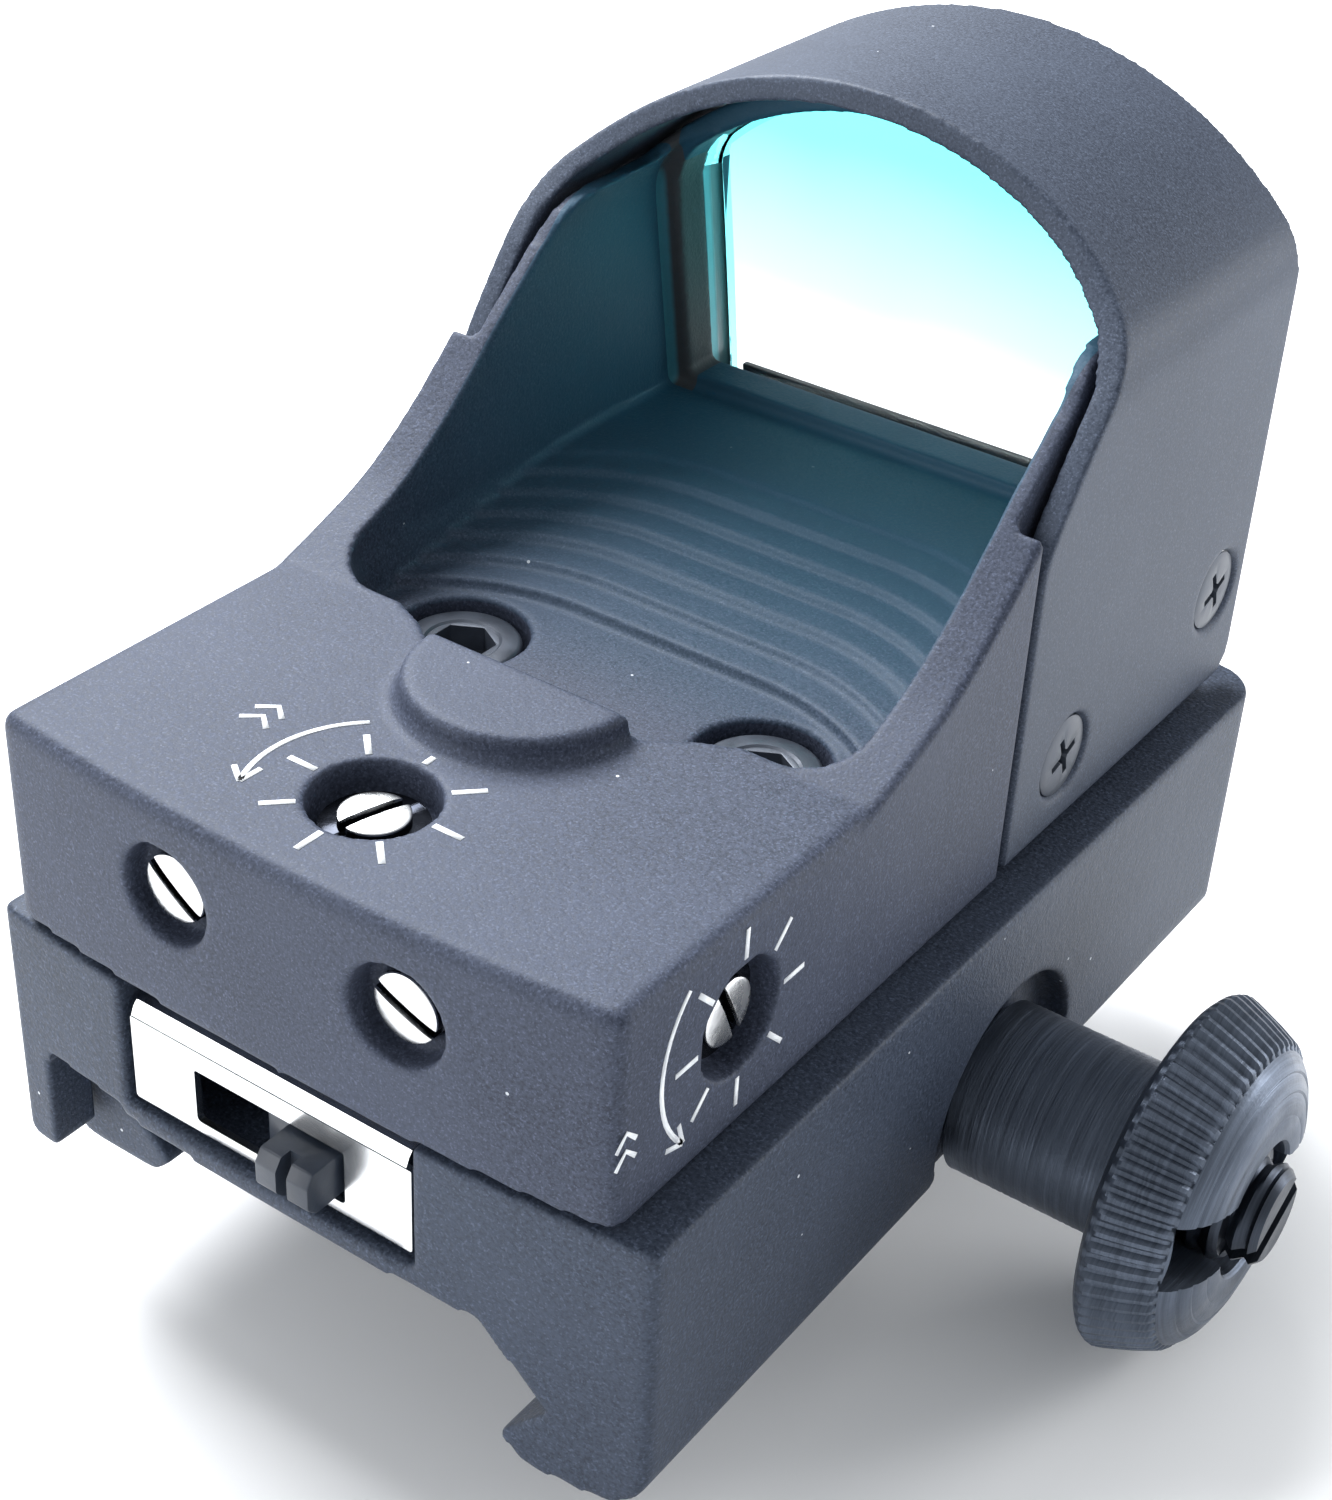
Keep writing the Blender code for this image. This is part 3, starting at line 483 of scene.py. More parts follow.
def blasted(name, dark, light, roughness, metallic, grain, depth, lens_light=None):
    """Bead-blasted black anodising: a fine pitted grain, faint clouds, and a few pale specks of dust. Given a
    lens light colour, it also carries painted cyan light from the lens in the channel.
    """
    cool = {"Specular IOR Level": 0.3, "Specular Tint": (0.80, 0.88, 1.0, 1.0)}
    look = Look(name, dark, roughness, metallic, **cool)
    fine = look.noise(grain, 2.0, 0.6)
    cloud = look.noise(0.12, 3.0)
    colour = look.mix(look.ramp(fine, 0.0, 1.0, (0.34, 0.66)), dark, light)
    colour = look.mix(look.ramp(cloud, 0.0, 0.35, (0.35, 0.7)), colour, tuple(1.25 * c for c in light))
    pits = look.noise(grain * 1.3, 1.0, 0.5)
    colour = look.mix(look.ramp(pits, 0.0, 0.6, (0.56, 0.74)), colour, tuple(2.0 * c for c in light))
    cells = look.node("ShaderNodeTexVoronoi", {"Vector": look.coords, "Scale": 0.55 / MM, "Randomness": 1.0})
    near = look.math("LESS_THAN", cells.outputs["Distance"], 0.035)
    tone = look.node("ShaderNodeSeparateColor", {"Color": cells.outputs["Color"]}).outputs[0]
    rare = look.math("GREATER_THAN", tone, 0.72)
    colour = look.mix(look.both(near, rare), colour, (0.55, 0.58, 0.62))
    # Painted cyan light that the lens throws into the channel.
    if lens_light:
        colour = paint_lens_light(look, colour, lens_light)
    look.use("Base Color", colour)
    look.use("Roughness", look.ramp(fine, roughness - 0.06, roughness + 0.1, (0.3, 0.7)))
    look.bump(fine, depth)
    look.bump(look.noise(grain * 0.35, 2.0), depth * 1.5, 0.6)
    return look.made


def turned_steel(name, colour, roughness, axis, rings, depth):
    """Machined steel with fine turning lines round one axis."""
    look = Look(name, colour, roughness, 0.9)
    scale = [0.02, 0.02, 0.02]
    scale["XYZ".index(axis)] = 1.0
    lines = look.noise(rings, 4.0, 0.7, look.stretched(scale))
    cloud = look.noise(0.5, 4.0, 0.6)
    pale = tuple(1.8 * c for c in colour)
    look.use("Base Color", look.mix(look.ramp(lines, 0, 1, (0.35, 0.75)), colour, pale))
    look.use("Roughness", look.ramp(cloud, roughness - 0.08, roughness + 0.14, (0.3, 0.7)))
    look.bump(lines, depth)
    look.bump(look.noise(6.0, 2.0), depth * 0.4)
    return look.made


def plain(name, colour, roughness, metallic, grain=4.0, depth=0.004, spread=0.2, **sockets):
    """A material with slight clouding of its colour and roughness and a fine surface."""
    look = Look(name, colour, roughness, metallic, **sockets)
    cloud = look.noise(grain * 0.15, 4.0)
    fine = look.noise(grain, 2.0)
    dark = tuple(c * (1 - spread) for c in colour)
    pale = tuple(min(1.0, c * (1 + spread)) for c in colour)
    look.use("Base Color", look.mix(look.ramp(cloud, 0, 1, (0.3, 0.7)), dark, pale))
    smooth, rough = max(0.02, roughness * 0.8), min(1.0, roughness * 1.25)
    look.use("Roughness", look.ramp(cloud, smooth, rough, (0.3, 0.7)))
    look.bump(fine, depth)
    return look.made


def coated_glass():
    """Glass with a cyan coating whose tint deepens towards the top of the lens as painted light, with a
    painted cyan fringe of light inside its border and painted streaks of light on its ground, painted edge.
    """
    look = Look("coated_glass", (0.3, 0.9, 0.95), 0.02, 0.0, **{
        "Transmission Weight": 1.0, "IOR": 1.5, "Coat Weight": 0.3, "Coat Roughness": 0.02})
    across, deep, up = look.places()
    across = look.math("ABSOLUTE", across)
    level = look.math("ADD", up, look.math("MULTIPLY", look.noise(0.15, 1.0), 0.0016))
    # Painted light: the tint deepens from nearly clear to cyan towards the top of the lens.
    tint = look.mix(look.ramp(level, 0, 1, (0.0158, 0.0200)), (0.95, 1.0, 1.0), (0.40, 0.95, 0.96))
    tint = look.mix(look.ramp(level, 0, 1, (0.0196, 0.0268)), tint, (0.16, 0.84, 0.87))
    lean = look.lean(deep, up)
    back = LENS_SEAT * MM + LENS_Z * MM * math.tan(LENS_TILT)
    # On the ground edge: a painted cyan streak of light and a dim teal band of painted reflection, then the
    # black paint.
    bright, dim, painted = (0.10, 0.42, 0.50), (0.020, 0.085, 0.105), (0.012, 0.035, 0.045)
    side = look.mix(look.ramp(lean, 0, 1, (back + 0.0010, back + 0.0014)), bright, dim)
    side = look.mix(look.ramp(lean, 0, 1, (back + 0.0022, back + 0.0025)), side, painted)
    flat = {0: look.coords, 1: (1.0, 0.0, 1.0)}
    crown = look.node("ShaderNodeVectorMath", flat, operation="MULTIPLY").outputs[0]
    middle = {0: crown, 1: (0.0, 0.0, ARCH_Z * MM)}
    spoke = look.node("ShaderNodeVectorMath", middle, operation="DISTANCE").outputs[1]
    above = look.math("GREATER_THAN", up, 0.0230)

    def edge_of(half, radius):
        """One outside this half width, or outside this radius in the round top."""
        top = look.both(above, look.math("GREATER_THAN", spoke, radius))
        return look.math("MAXIMUM", look.math("GREATER_THAN", across, half), top)

    rim = edge_of(0.01040, 0.01465)
    border = edge_of(0.01002, 0.01440)
    ahead = look.math("GREATER_THAN", lean, back + 0.0018)
    # A painted cyan fringe of light just inside the border of the lens.
    tint = look.mix(look.both(border, ahead), tint, (0.09, 0.58, 0.64))
    look.use("Base Color", look.mix(rim, tint, side))
    look.use("Roughness", look.ramp(rim, 0.02, 0.5))
    look.use("Transmission Weight", look.ramp(rim, 1.0, 0.0))
    look.bump(look.noise(0.3, 2.0), 0.0006)
    return look.made


def screw_with_painted_shade(name, axis, face, outward):
    """A bright screw head with painted shade: what lies below its face, such as the slot and the collar, is
    painted dark.
    """
    look = Look(name, (0.66, 0.67, 0.68), 0.24, 1.0)
    rim_depth = 0.07
    along_axis = look.math("MULTIPLY", look.places()["XYZ".index(axis)], float(outward))
    # Painted shade in the slot and round the collar, below the face.
    painted_shade_below = look.math("LESS_THAN", along_axis, (outward * face - rim_depth) * MM)
    cloud = look.noise(0.5, 4.0)
    bright = look.mix(look.ramp(cloud, 0, 1, (0.3, 0.7)), (0.60, 0.61, 0.62), (0.80, 0.81, 0.82))
    look.use("Base Color", look.mix(painted_shade_below, bright, (0.030, 0.034, 0.045)))
    look.use("Roughness", look.ramp(cloud, 0.16, 0.32, (0.3, 0.7)))
    look.bump(look.noise(3.0, 2.0), 0.010)
    return look.made


def make_looks():
    clear = {"Transmission Weight": 1.0}
    return {
        # The housing carries painted cyan lens light in its channel.
        "cast": blasted("cast_alloy", (0.016, 0.020, 0.034), (0.052, 0.062, 0.094), 0.55, 0.0, 8.0, 0.016,
                        (0.020, 0.086, 0.138)),
        "shield": blasted("shield_alloy", (0.020, 0.026, 0.042), (0.054, 0.067, 0.096), 0.52, 0.0, 9.0,
                          0.010),
        "base": blasted("base_alloy", (0.012, 0.017, 0.029), (0.044, 0.056, 0.084), 0.52, 0.0, 6.5, 0.026),
        "nut": turned_steel("nut_steel", (0.075, 0.090, 0.118), 0.42, "X", 9.0, 0.022),
        "bolt": turned_steel("bolt_steel", (0.030, 0.036, 0.048), 0.38, "X", 9.0, 0.012),
        "steel": plain("black_steel", (0.050, 0.060, 0.080), 0.42, 0.4, 5.0, 0.006),
        "nickel": plain("nickel", (0.74, 0.75, 0.76), 0.20, 1.0, 1.2, 0.003, 0.10),
        "screw": screw_with_painted_shade("lock_screw_painted_shade", "Y", LOCK_FACE, -1),
        "elevation": screw_with_painted_shade("elevation_screw_painted_shade", "Z", ELEVATION_FACE, 1),
        "windage": screw_with_painted_shade("windage_screw_painted_shade", "X", WINDAGE_FACE, 1),
        "glass": coated_glass(),
        "pane": plain("clear_pane", (0.95, 0.97, 1.0), 0.03, 0.0, 1.0, 0.001, 0.03, **clear),
        "rubber": plain("rubber", (0.012, 0.013, 0.015), 0.7, 0.0, 5.0, 0.01),
        "plastic": plain("black_plastic", (0.024, 0.032, 0.048), 0.40, 0.0, 4.0, 0.008, 0.25),
        "paint": plain("white_paint", (0.80, 0.83, 0.88), 0.6, 0.0, 8.0, 0.004, 0.18),
        "board": plain("circuit_board", (0.02, 0.16, 0.08), 0.4, 0.0, 2.0, 0.01, 0.3),
        "brass": plain("brass", (0.75, 0.56, 0.24), 0.28, 1.0, 3.0, 0.005, 0.15),
        "spring": plain("spring_steel", (0.55, 0.55, 0.57), 0.25, 1.0, 4.0, 0.003),
        "cell": plain("battery_steel", (0.78, 0.78, 0.77), 0.22, 1.0, 2.0, 0.003, 0.08),
        "red": plain("red_emitter", (0.6, 0.02, 0.015), 0.2, 0.0, 3.0, 0.002, 0.2),
    }


LOOKS = make_looks()


# ---------------------------------------------------------------- housing

CREST = [(-9.6, 13.9), (-8.2, 14.4), (-6.5, 15.0), (-3.8, 16.1), (-1.5, 17.6), (0.3, 19.1), (1.9, 20.6),
         (3.4, 21.9), (4.8, 23.1), (5.9, 24.1), (7.2, 24.6), (9.2, 24.75), (10.8, 24.9), (11.5, 25.7),
         (11.7, 27.5), (11.8, 31.0)]


def lens_opening(half, radius, floor, place):
    opening = prism(arch(half, radius, floor), "XZ", DECK_FRONT - 1, 30)
    return bake(common(opening, behind_plane(place)))


def make_housing():
    edge = SIDE_WALL
    corner = arc((edge - 0.55, -21.17), 0.55, -80, 0, 8)
    mirror = [(-x, y) for x, y in reversed(corner)]
    plan = [*rear_arc(-edge + 0.7, edge - 0.7), *corner, (edge, 4.0), (-edge, 4.0), *mirror]
    housing = prism(plan, "XY", 3.0, DECK, "housing")
    bake(bevel(housing, 0.9, 6, 50))
    crest = flowing(CREST)
    wings = prism([*[p for p in crest if p[0] <= 4.8], (4.8, 8.0), (-9.6, 8.0)], "YZ", -edge, edge)
    bake(bevel(wings, 1.15, 6, 50))
    join(housing, wings)
    for low, high in ((11.6, 16), (-16, -11.6)):
        cut(housing, box((low, 1.55, 0), (high, 30, 40)))
    lens_frame = prism(arch(11.6, 15.42, 3.0), "XZ", 0.2, 19.5)
    behind_crest = [*[(y + 0.08, z) for y, z in crest], (25, 31.0), (25, 2), (-9.6, 2)]
    common(lens_frame, prism(behind_crest, "YZ", -20, 20))
    join(housing, bake(lens_frame))
    boss = lathe("Z", (0, -10.0, 0), [(0, 13.5), (5.0, 13.5), (4.75, 14.4), (4.4, 14.6), (4.25, 14.9),
                                      (4.2, 15.3), (4.05, 15.45), (3.85, 15.5), (0, 15.5)])
    join(housing, boss)
    cut(housing, box((-20, -30, -5), (20, 30, 6.3)))
    channel = prism(pocket_outline(40), "XY", 14.3, 45)
    common(channel, lens_opening(CHANNEL_HALF, 14.9, 10.0, SEAT_OUTER))
    cut(housing, bake(channel), lens_opening(10.1, 14.5, 14.9, LENS_SEAT + 0.3))
    lens_room = prism(arch(10.75, 15.0, 13.45), "XZ", 5, 30)
    cut(lens_room, behind_plane(LENS_SEAT))
    open_front = prism(arch(12.4, 16.4, 13.3), "XZ", 5, 30)
    cut(open_front, behind_plane(FRAME_FACE))
    cut(housing, bake(lens_room), bake(open_front))
    for i in range(7):
        level = 12.4 if i == 0 else 12.8 + 0.27 * (i - 1)
        cut(housing, prism(pocket_outline(-1.6 + 1.65 * i, 0.04 * (7 - i)), "XY", level, 14.4))
    notch = rounded([(-7.4, -6.8, 0), (-7.4, DECK_FRONT, 0.5), (-6.0, -8.4, 1.0), (-3.9, -10.0, 0.6),
                     (3.9, -10.0, 0.6), (6.0, -8.4, 1.0), (7.4, DECK_FRONT, 0.5), (7.4, -6.8, 0)])
    cut(housing, prism(notch, "XY", 12.4, 20))
    cut(housing, box((-10.4, -20.3, 0), (10.4, -8.7, 12.9)), box((-2.3, -13.2, 10), (2.3, -10.85, 15.0)),
        box((-1.1, -11.0, 13.1), (1.1, -9.0, 14.7)), box((-1.9, -10.5, 12.75), (1.9, -9.0, 15.05)),
        box((-3.6, -9.5, 7.3), (3.6, 1.0, 10.9)), box((-3.0, -3.5, 0), (3.0, 1.0, 8.0)),
        cylinder("Z", (0, 7.0), 0, 10.9, 10.3, 96))
    for x in (-MOUNT_X, MOUNT_X):
        cut(housing, cylinder("Z", (x, MOUNT_Y), 10.3, 20, 2.5), cylinder("Z", (x, MOUNT_Y), 0, 12, 1.75))
    for x in (-LOCK_X, LOCK_X):
        cut(housing, cylinder("Y", (x, LOCK_Z), -30, -21.2, 1.85), cylinder("Y", (x, LOCK_Z), -30, -19, 1.3))
    cut(housing, cylinder("Z", ELEVATION, 13.0, 20, 2.2), cylinder("Z", ELEVATION, 12, 20, 1.1),
        cylinder("X", WINDAGE, 11.4, 20, 2.1), cylinder("X", WINDAGE, 9, 20, 1.3))
    for end, (y, z) in SHIELD_SCREWS.items():
        inner = 10.5 if end == "rear" else 9.9
        for sign in (1, -1):
            cut(housing, cylinder("X", (y, z), *sorted((sign * inner, sign * 15)), 1.05))
    bake(housing)
    soften(housing, 0.15, 4, 0.22)
    place(housing, "optics_housing", "sight", LOOKS["cast"], ["housing"], "cast_alloy")


# ---------------------------------------------------------------- shield

SHIELD_RIM = [(1.85, 17.5), (2.15, 19.4), (4.5, 22.7), (6.6, 25.0), (7.8, 26.6), (8.5, 28.6), (8.8, 31.5)]


def make_shield():
    shield = prism(arch(12.8, 16.6, 6.5, 80), "XZ", 0, 21.5, "shield")
    corner = arc((SHIELD_FRONT - 1.1, 7.6), 1.1, 0, -90, 8)
    outline = [*flowing(SHIELD_RIM), (8.8, 33), (SHIELD_FRONT, 33), *corner, (1.85, 6.5)]
    common(shield, prism(outline, "YZ", -20, 20))
    cut(shield, prism(arch(11.9, 15.7, 0, 80), "XZ", -5, 30),
        prism(arch(12.35, 16.15, 0, 80), "XZ", 18.7, 30))
    hole, sink = 0.95, 1.95
    for y, z in SHIELD_SCREWS.values():
        cut(shield, cylinder("X", (y, z), 11.5, 13.0, hole, 64, sink),
            cylinder("X", (y, z), -13.0, -11.5, sink, 64, hole))
    bake(shield)
    soften(shield, 0.14, 3, 0.25)
    place(shield, "sun_shield", "sight", LOOKS["shield"], ["shield"], "shield_alloy")


def make_shield_screw(side, end):
    """A countersunk screw with a cross recess."""
    sign = 1 if side == "right" else -1
    y, z = SHIELD_SCREWS[end]
    tip = -2.0
    head = lathe("Z", (0, 0, 0), [(0, tip), (0.72, tip), (0.72, -0.85), (1.46, -0.12), (1.62, -0.02),
                                  (1.60, 0.03), (1.3, 0.09), (0, 0.13)], 64)
    for turn in (20, 110):
        cut(head, bar("Z", (0, 0), -0.30, 0.6, 0.30, turn, 0.85))
    cut(head, cylinder("Z", (0, 0), -0.4, 0.5, 0.22, 24, 0.36))
    bake(head)
    bake(bevel(head, 0.035, 2, 40))
    turned = Matrix.Rotation(sign * math.pi / 2, 4, "Y")
    head.data.transform(Matrix.Translation((sign * 12.62, y, z)) @ turned)
    place(head, "shield_screw_%s_%s_head" % (side, end), "sight", LOOKS["steel"],
          ["shield_screw_%s_%s" % (side, end)], "black_steel", 35)


# ---------------------------------------------------------------- lens

def make_lens():
    """A slice of a shallow sphere, hollow towards the eye, with a ground edge."""
    shape = bmesh.new()
    bmesh.ops.create_grid(shape, x_segments=60, y_segments=46, size=1.0)
    for vert in shape.verts:
        x, z = vert.co.x * 11.5, vert.co.y * 9.0
        vert.co = (x, -(x * x + z * z) / (2 * LENS_R), z)
    grown = bmesh.ops.extrude_face_region(shape, geom=shape.faces[:])["geom"]
    for vert in [g for g in grown if isinstance(g, bmesh.types.BMVert)]:
        vert.co.y += LENS_THICK
    middle = 21.4
    lean = 1.4 * math.tan(LENS_TILT)
    spot = Matrix.Translation((0, LENS_SEAT + LENS_GAP - lean, middle))
    lens = scratch("lens", finish_mesh(shape, "lens"))
    lens.matrix_world = spot @ Matrix.Rotation(LENS_TILT, 4, "X")
    bpy.context.view_layer.update()
    common(lens, prism(arch(*LENS_ARCH), "XZ", 0, 30))
    bake(lens)
    bake(bevel(lens, 0.08, 2, 50))
    place(lens, "reflector_lens", "sight", LOOKS["glass"], ["lens"], "coated_glass", 30)


def make_lens_seal():
    """The bead along the foot of the lens."""
    seal = prism(arch(*LENS_ARCH), "XZ", 0, 30)
    common(seal, behind_plane(FRAME_FACE))
    common(seal, box((-10.05, 0, 0), (10.05, 40, 15.2)))
    cut(seal, behind_plane(LENS_SEAT + LENS_GAP + LENS_THICK + 0.15),
        prism(arch(10.1, 14.2, 14.2), "XZ", -5, 40))
    bake(seal)
    bake(bevel(seal, 0.12, 4, 50))
    place(seal, "sealing_bead", "sight", LOOKS["rubber"], ["lens_seal"], "rubber", 50)


# ---------------------------------------------------------------- screws

def make_slotted(name, node, body, axis, origin, radius, profile, width, depth, turn, look="screw"):
    """A bright slotted screw: a slightly crowned disc with a clean slot, on the profile's shank."""
    rise = 0.10
    angles = [math.radians(8 + 82 * k / 10) for k in range(11)]
    crown = [(radius * math.cos(a), rise * math.sin(a)) for a in angles]
    outline = [(0, profile[-1][1]), *reversed(profile), (radius, -0.12), (radius, 0.0), *crown[:-1],
               (0, rise)]
    screw = lathe("Z", (0, 0, 0), outline, 96)
    cut(screw, bar("Z", (0, 0), -depth, 1.0, width, turn, radius + 0.6))
    bake(screw)
    bake(bevel(screw, 0.03, 2, 40))
    screw.data.transform(Matrix.Translation(origin) @ axis)
    return place(screw, name, body, LOOKS[look], [node], "nickel", 35)


def make_screws():
    outward_x, rearward = TURNS["X"], Matrix.Rotation(math.pi / 2, 4, "X")
    make_slotted("elevation_dial_screw", "elevation_screw", "elevation_dial", Matrix.Identity(4),
                 (*ELEVATION, ELEVATION_FACE), 1.2,
                 [(1.2, -0.4), (1.83, -0.4), (1.83, -0.54), (0.75, -0.54), (0.75, -4.5)],
                 0.42, 0.42, 73, "elevation")
    make_slotted("windage_dial_screw", "windage_screw", "windage_dial", outward_x,
                 (WINDAGE_FACE, *WINDAGE), 1.2,
                 [(1.2, -0.36), (1.73, -0.36), (1.73, -0.56), (0.95, -0.56), (0.95, -7.7)],
                 0.42, 0.42, 25, "windage")
    for side, sign, turn in (("right", 1, -22), ("left", -1, -38)):
        make_slotted("lock_screw_%s_head" % side, "lock_screw_" + side, side + "_lock", rearward,
                     (sign * LOCK_X, LOCK_FACE, LOCK_Z), 1.25,
                     [(1.25, -0.7), (0.95, -0.72), (0.95, -4.5)], 0.42, 0.45, turn)
        x = sign * MOUNT_X
        shank = [(0, 1.75), (1.3, 1.75), (1.42, 1.9), (1.42, 10.62)]
        rim = [(2.2, 10.62), (2.2, 11.85), (2.14, 11.96), (2.02, 12.02), (1.45, 12.02)]
        head = lathe("Z", (x, MOUNT_Y, 0), [*shank, *rim, (1.35, 11.95), (0, 11.95)])
        cut(head, cylinder("Z", (x, MOUNT_Y), 10.95, 14, 1.25, 6))
        bake(head)
        bake(bevel(head, 0.05, 2, 40))
        place(head, "mount_screw_%s_head" % side, "sight", LOOKS["steel"], ["mount_screw_" + side],
              "black_steel", 35)


# ---------------------------------------------------------------- base and clamp

HOOK = ((10.62, -2.77), (8.72, -4.67), (9.62, -5.6))
LEFT = -13.95
FRONT = 21.3


def make_base():
    profile = rounded([(LEFT, 6.0, 0.35), (LEFT, -4.3, 0.7), (-12.15, -4.3, 0.3), (-12.15, 0, 0),
                       (7.85, 0, 0), (*HOOK[0], 0), (*HOOK[1], 0.35), (*HOOK[2], 0.8), (14.3, -5.6, 1.9),
                       (14.3, 6.0, 0.2)])
    base = prism(profile, "XZ", -23.5, 23.5, "base")
    plan = [*rear_arc(LEFT + 0.3, 14.0), (14.31, -21.2), *arc((12.1, FRONT - 2.2), 2.21, 0, 90, 12),
            *arc((LEFT + 2.2, FRONT - 2.2), 2.21, 90, 180, 12), (LEFT - 0.01, -21.2)]
    common(base, prism(plan, "XY", -20, 20))
    cut(base, prism([(FRONT, 6.1), (FRONT - 1.2, -5.7), (30, -5.7), (30, 6.1)], "YZ", -20, 20))
    ring = cylinder("Z", (0, 7.0), 5.15, 8, 11.4, 96)
    cut(ring, cylinder("Z", (0, 7.0), 4, 9, 10.4, 96))
    cut(base, box((-20, -19.8, -20), (-11.9, 18.6, 0.05)), box((-12.0, -30, -1), (-7.95, 30, 0.4)),
        box((-10, NUT[0] - 2.7, -1), (8.3, NUT[0] + 2.7, 0.4)), box((-7.6, -30, 0.8), (5.4, -16.6, 20)),
        cylinder("X", NUT, 5, 20, 2.42), cylinder("X", NUT, 13.2, 20, 4.9, 96), bake(ring))
    for x in (-MOUNT_X, MOUNT_X):
        cut(base, cylinder("Z", (x, MOUNT_Y), 1.2, 20, 1.75))
    bake(base)
    soften(base, 0.16, 3, 0.2)
    place(base, "rail_base", "sight", LOOKS["base"], ["base"], "base_alloy")


def make_jaw():
    mirrored = [(-x, z) for x, z in HOOK]
    jaw = prism(rounded([(LEFT, -0.25, 0.3), (-8.1, -0.25, 0), (*mirrored[0], 0), (*mirrored[1], 0.35),
                         (*mirrored[2], 0.8), (LEFT, -5.6, 1.4)]), "XZ", -19.5, 18.3, "jaw")
    cut(jaw, cylinder("X", NUT, -20, 0, 2.42), box((-20, NUT[0] - 3.4, -10), (-12.1, NUT[0] + 3.4, 5)))
    bake(jaw)
    soften(jaw, 0.16, 3, 0.25)
    place(jaw, "moving_jaw", "clamp", LOOKS["base"], ["clamp_jaw"], "base_alloy")


def ring_at(shape, x, radii):
    """A ring of points about the clamp's axis, one for each radius."""
    ring = []
    for k, radius in enumerate(radii):
        angle = 2 * math.pi * (k / len(radii))
        y, z = NUT[0] + radius * math.cos(angle), NUT[1] + radius * math.sin(angle)
        ring.append(shape.verts.new((x, y, z)))
    return ring


def skin(shape, rings):
    """Quads between each ring of points and the next."""
    for first, second in zip(rings, rings[1:]):
        for k in range(len(first)):
            n = (k + 1) % len(first)
            shape.faces.new((first[k], second[k], second[n], first[n]))


def make_bolt():
    """The bolt, with its thread showing at the slotted end."""
    steps, pitch, thread_depth = 48, 0.8, 0.30
    thread_start, tip_start, thread_end = 16.0, 24.35, 25.3
    shape = bmesh.new()
    rings = []
    places = [-12.8, -12.7, 15.7, 15.9] + [thread_start + 0.1 * k for k in range(93)] + [25.35, 25.5, 25.6]
    for x in places:
        radii = []
        for k in range(steps):
            if x < thread_start:
                radii.append(2.2)
            elif x > thread_end:
                radii.append(1.9 - (x - 25.35))
            else:
                phase = (x / pitch + k / steps) % 1.0
                radii.append((2.38 if x < tip_start else 2.02) - thread_depth * abs(2 * phase - 1))
        rings.append(ring_at(shape, x, radii))
    skin(shape, rings)
    shape.faces.new(rings[0])
    shape.faces.new(reversed(rings[-1]))
    bolt = scratch("bolt", finish_mesh(shape, "bolt"))
    head = bevel(box((-13.5, NUT[0] - 3.1, -5.2), (-12.4, NUT[0] + 3.1, -0.7)), 0.15, 3)
    join(bolt, bake(head))
    cut(bolt, bar("X", NUT, 24.3, 27, 0.9, 117, 4.0))
    bake(bolt)
    place(bolt, "cross_bolt", "clamp", LOOKS["bolt"], ["clamp_bolt"], "black_steel", 35)


def make_nut():
    """A turned nut: neck, rounded shoulder, a tapered straight knurl, a domed face with a wide slot."""
    steps, teeth, groove = 528, 66, 0.012
    neck = [(2.65, 13.6), (3.35, 13.6), (3.5, 13.75)]
    neck += [(3.5 - groove * (k % 2) - groove * (k % 5 == 0), 14.0 + 0.13 * k) for k in range(49)]
    neck += [(3.5, 20.45), (3.62, 20.62), (4.2, 20.66), (5.4, 20.70), (6.2, 20.80), (6.6, 20.95),
             (6.86, 21.15)]
    rim = [(6.98, 21.35), (7.01, 21.5), (6.92, 21.8), (6.72, 22.3), (6.52, 22.8), (6.28, 23.3),
           (6.13, 23.6), (6.0, 23.72)]
    face = [(5.82, 23.80), (5.72, 23.92), (5.5, 24.12), (5.25, 24.28), (5.15, 24.26), (5.0, 24.40),
            (4.6, 24.56), (4.5, 24.54), (4.3, 24.64), (3.8, 24.74), (3.7, 24.72), (3.5, 24.78), (2.9, 24.8),
            (2.75, 24.76), (2.65, 24.6)]
    shape = bmesh.new()
    rings = []
    for index, (radius, x) in enumerate([*neck, *rim, *face]):
        at = index - len(neck)
        deep = 0.0 if not 0 <= at < len(rim) else (0.10 if at == 0 else 0.21)
        radii = []
        for k in range(steps):
            wave = (k / steps * teeth) % 1.0
            notch = max(0.0, 1 - abs(wave - 0.5) / 0.36)
            radii.append(radius - deep * min(1.0, 1.5 * notch))
        rings.append(ring_at(shape, x, radii))
    rings.append(rings[0])
    skin(shape, rings)
    nut = scratch("nut", finish_mesh(shape, "nut"))
    cut(nut, bar("X", NUT, 22.9, 27, 2.6, 78, 5.74))
    bake(nut)
    place(nut, "knurled_nut", "clamp_nut", LOOKS["nut"], ["thumb_nut"], "nut_steel", 24)


# ---------------------------------------------------------------- switch

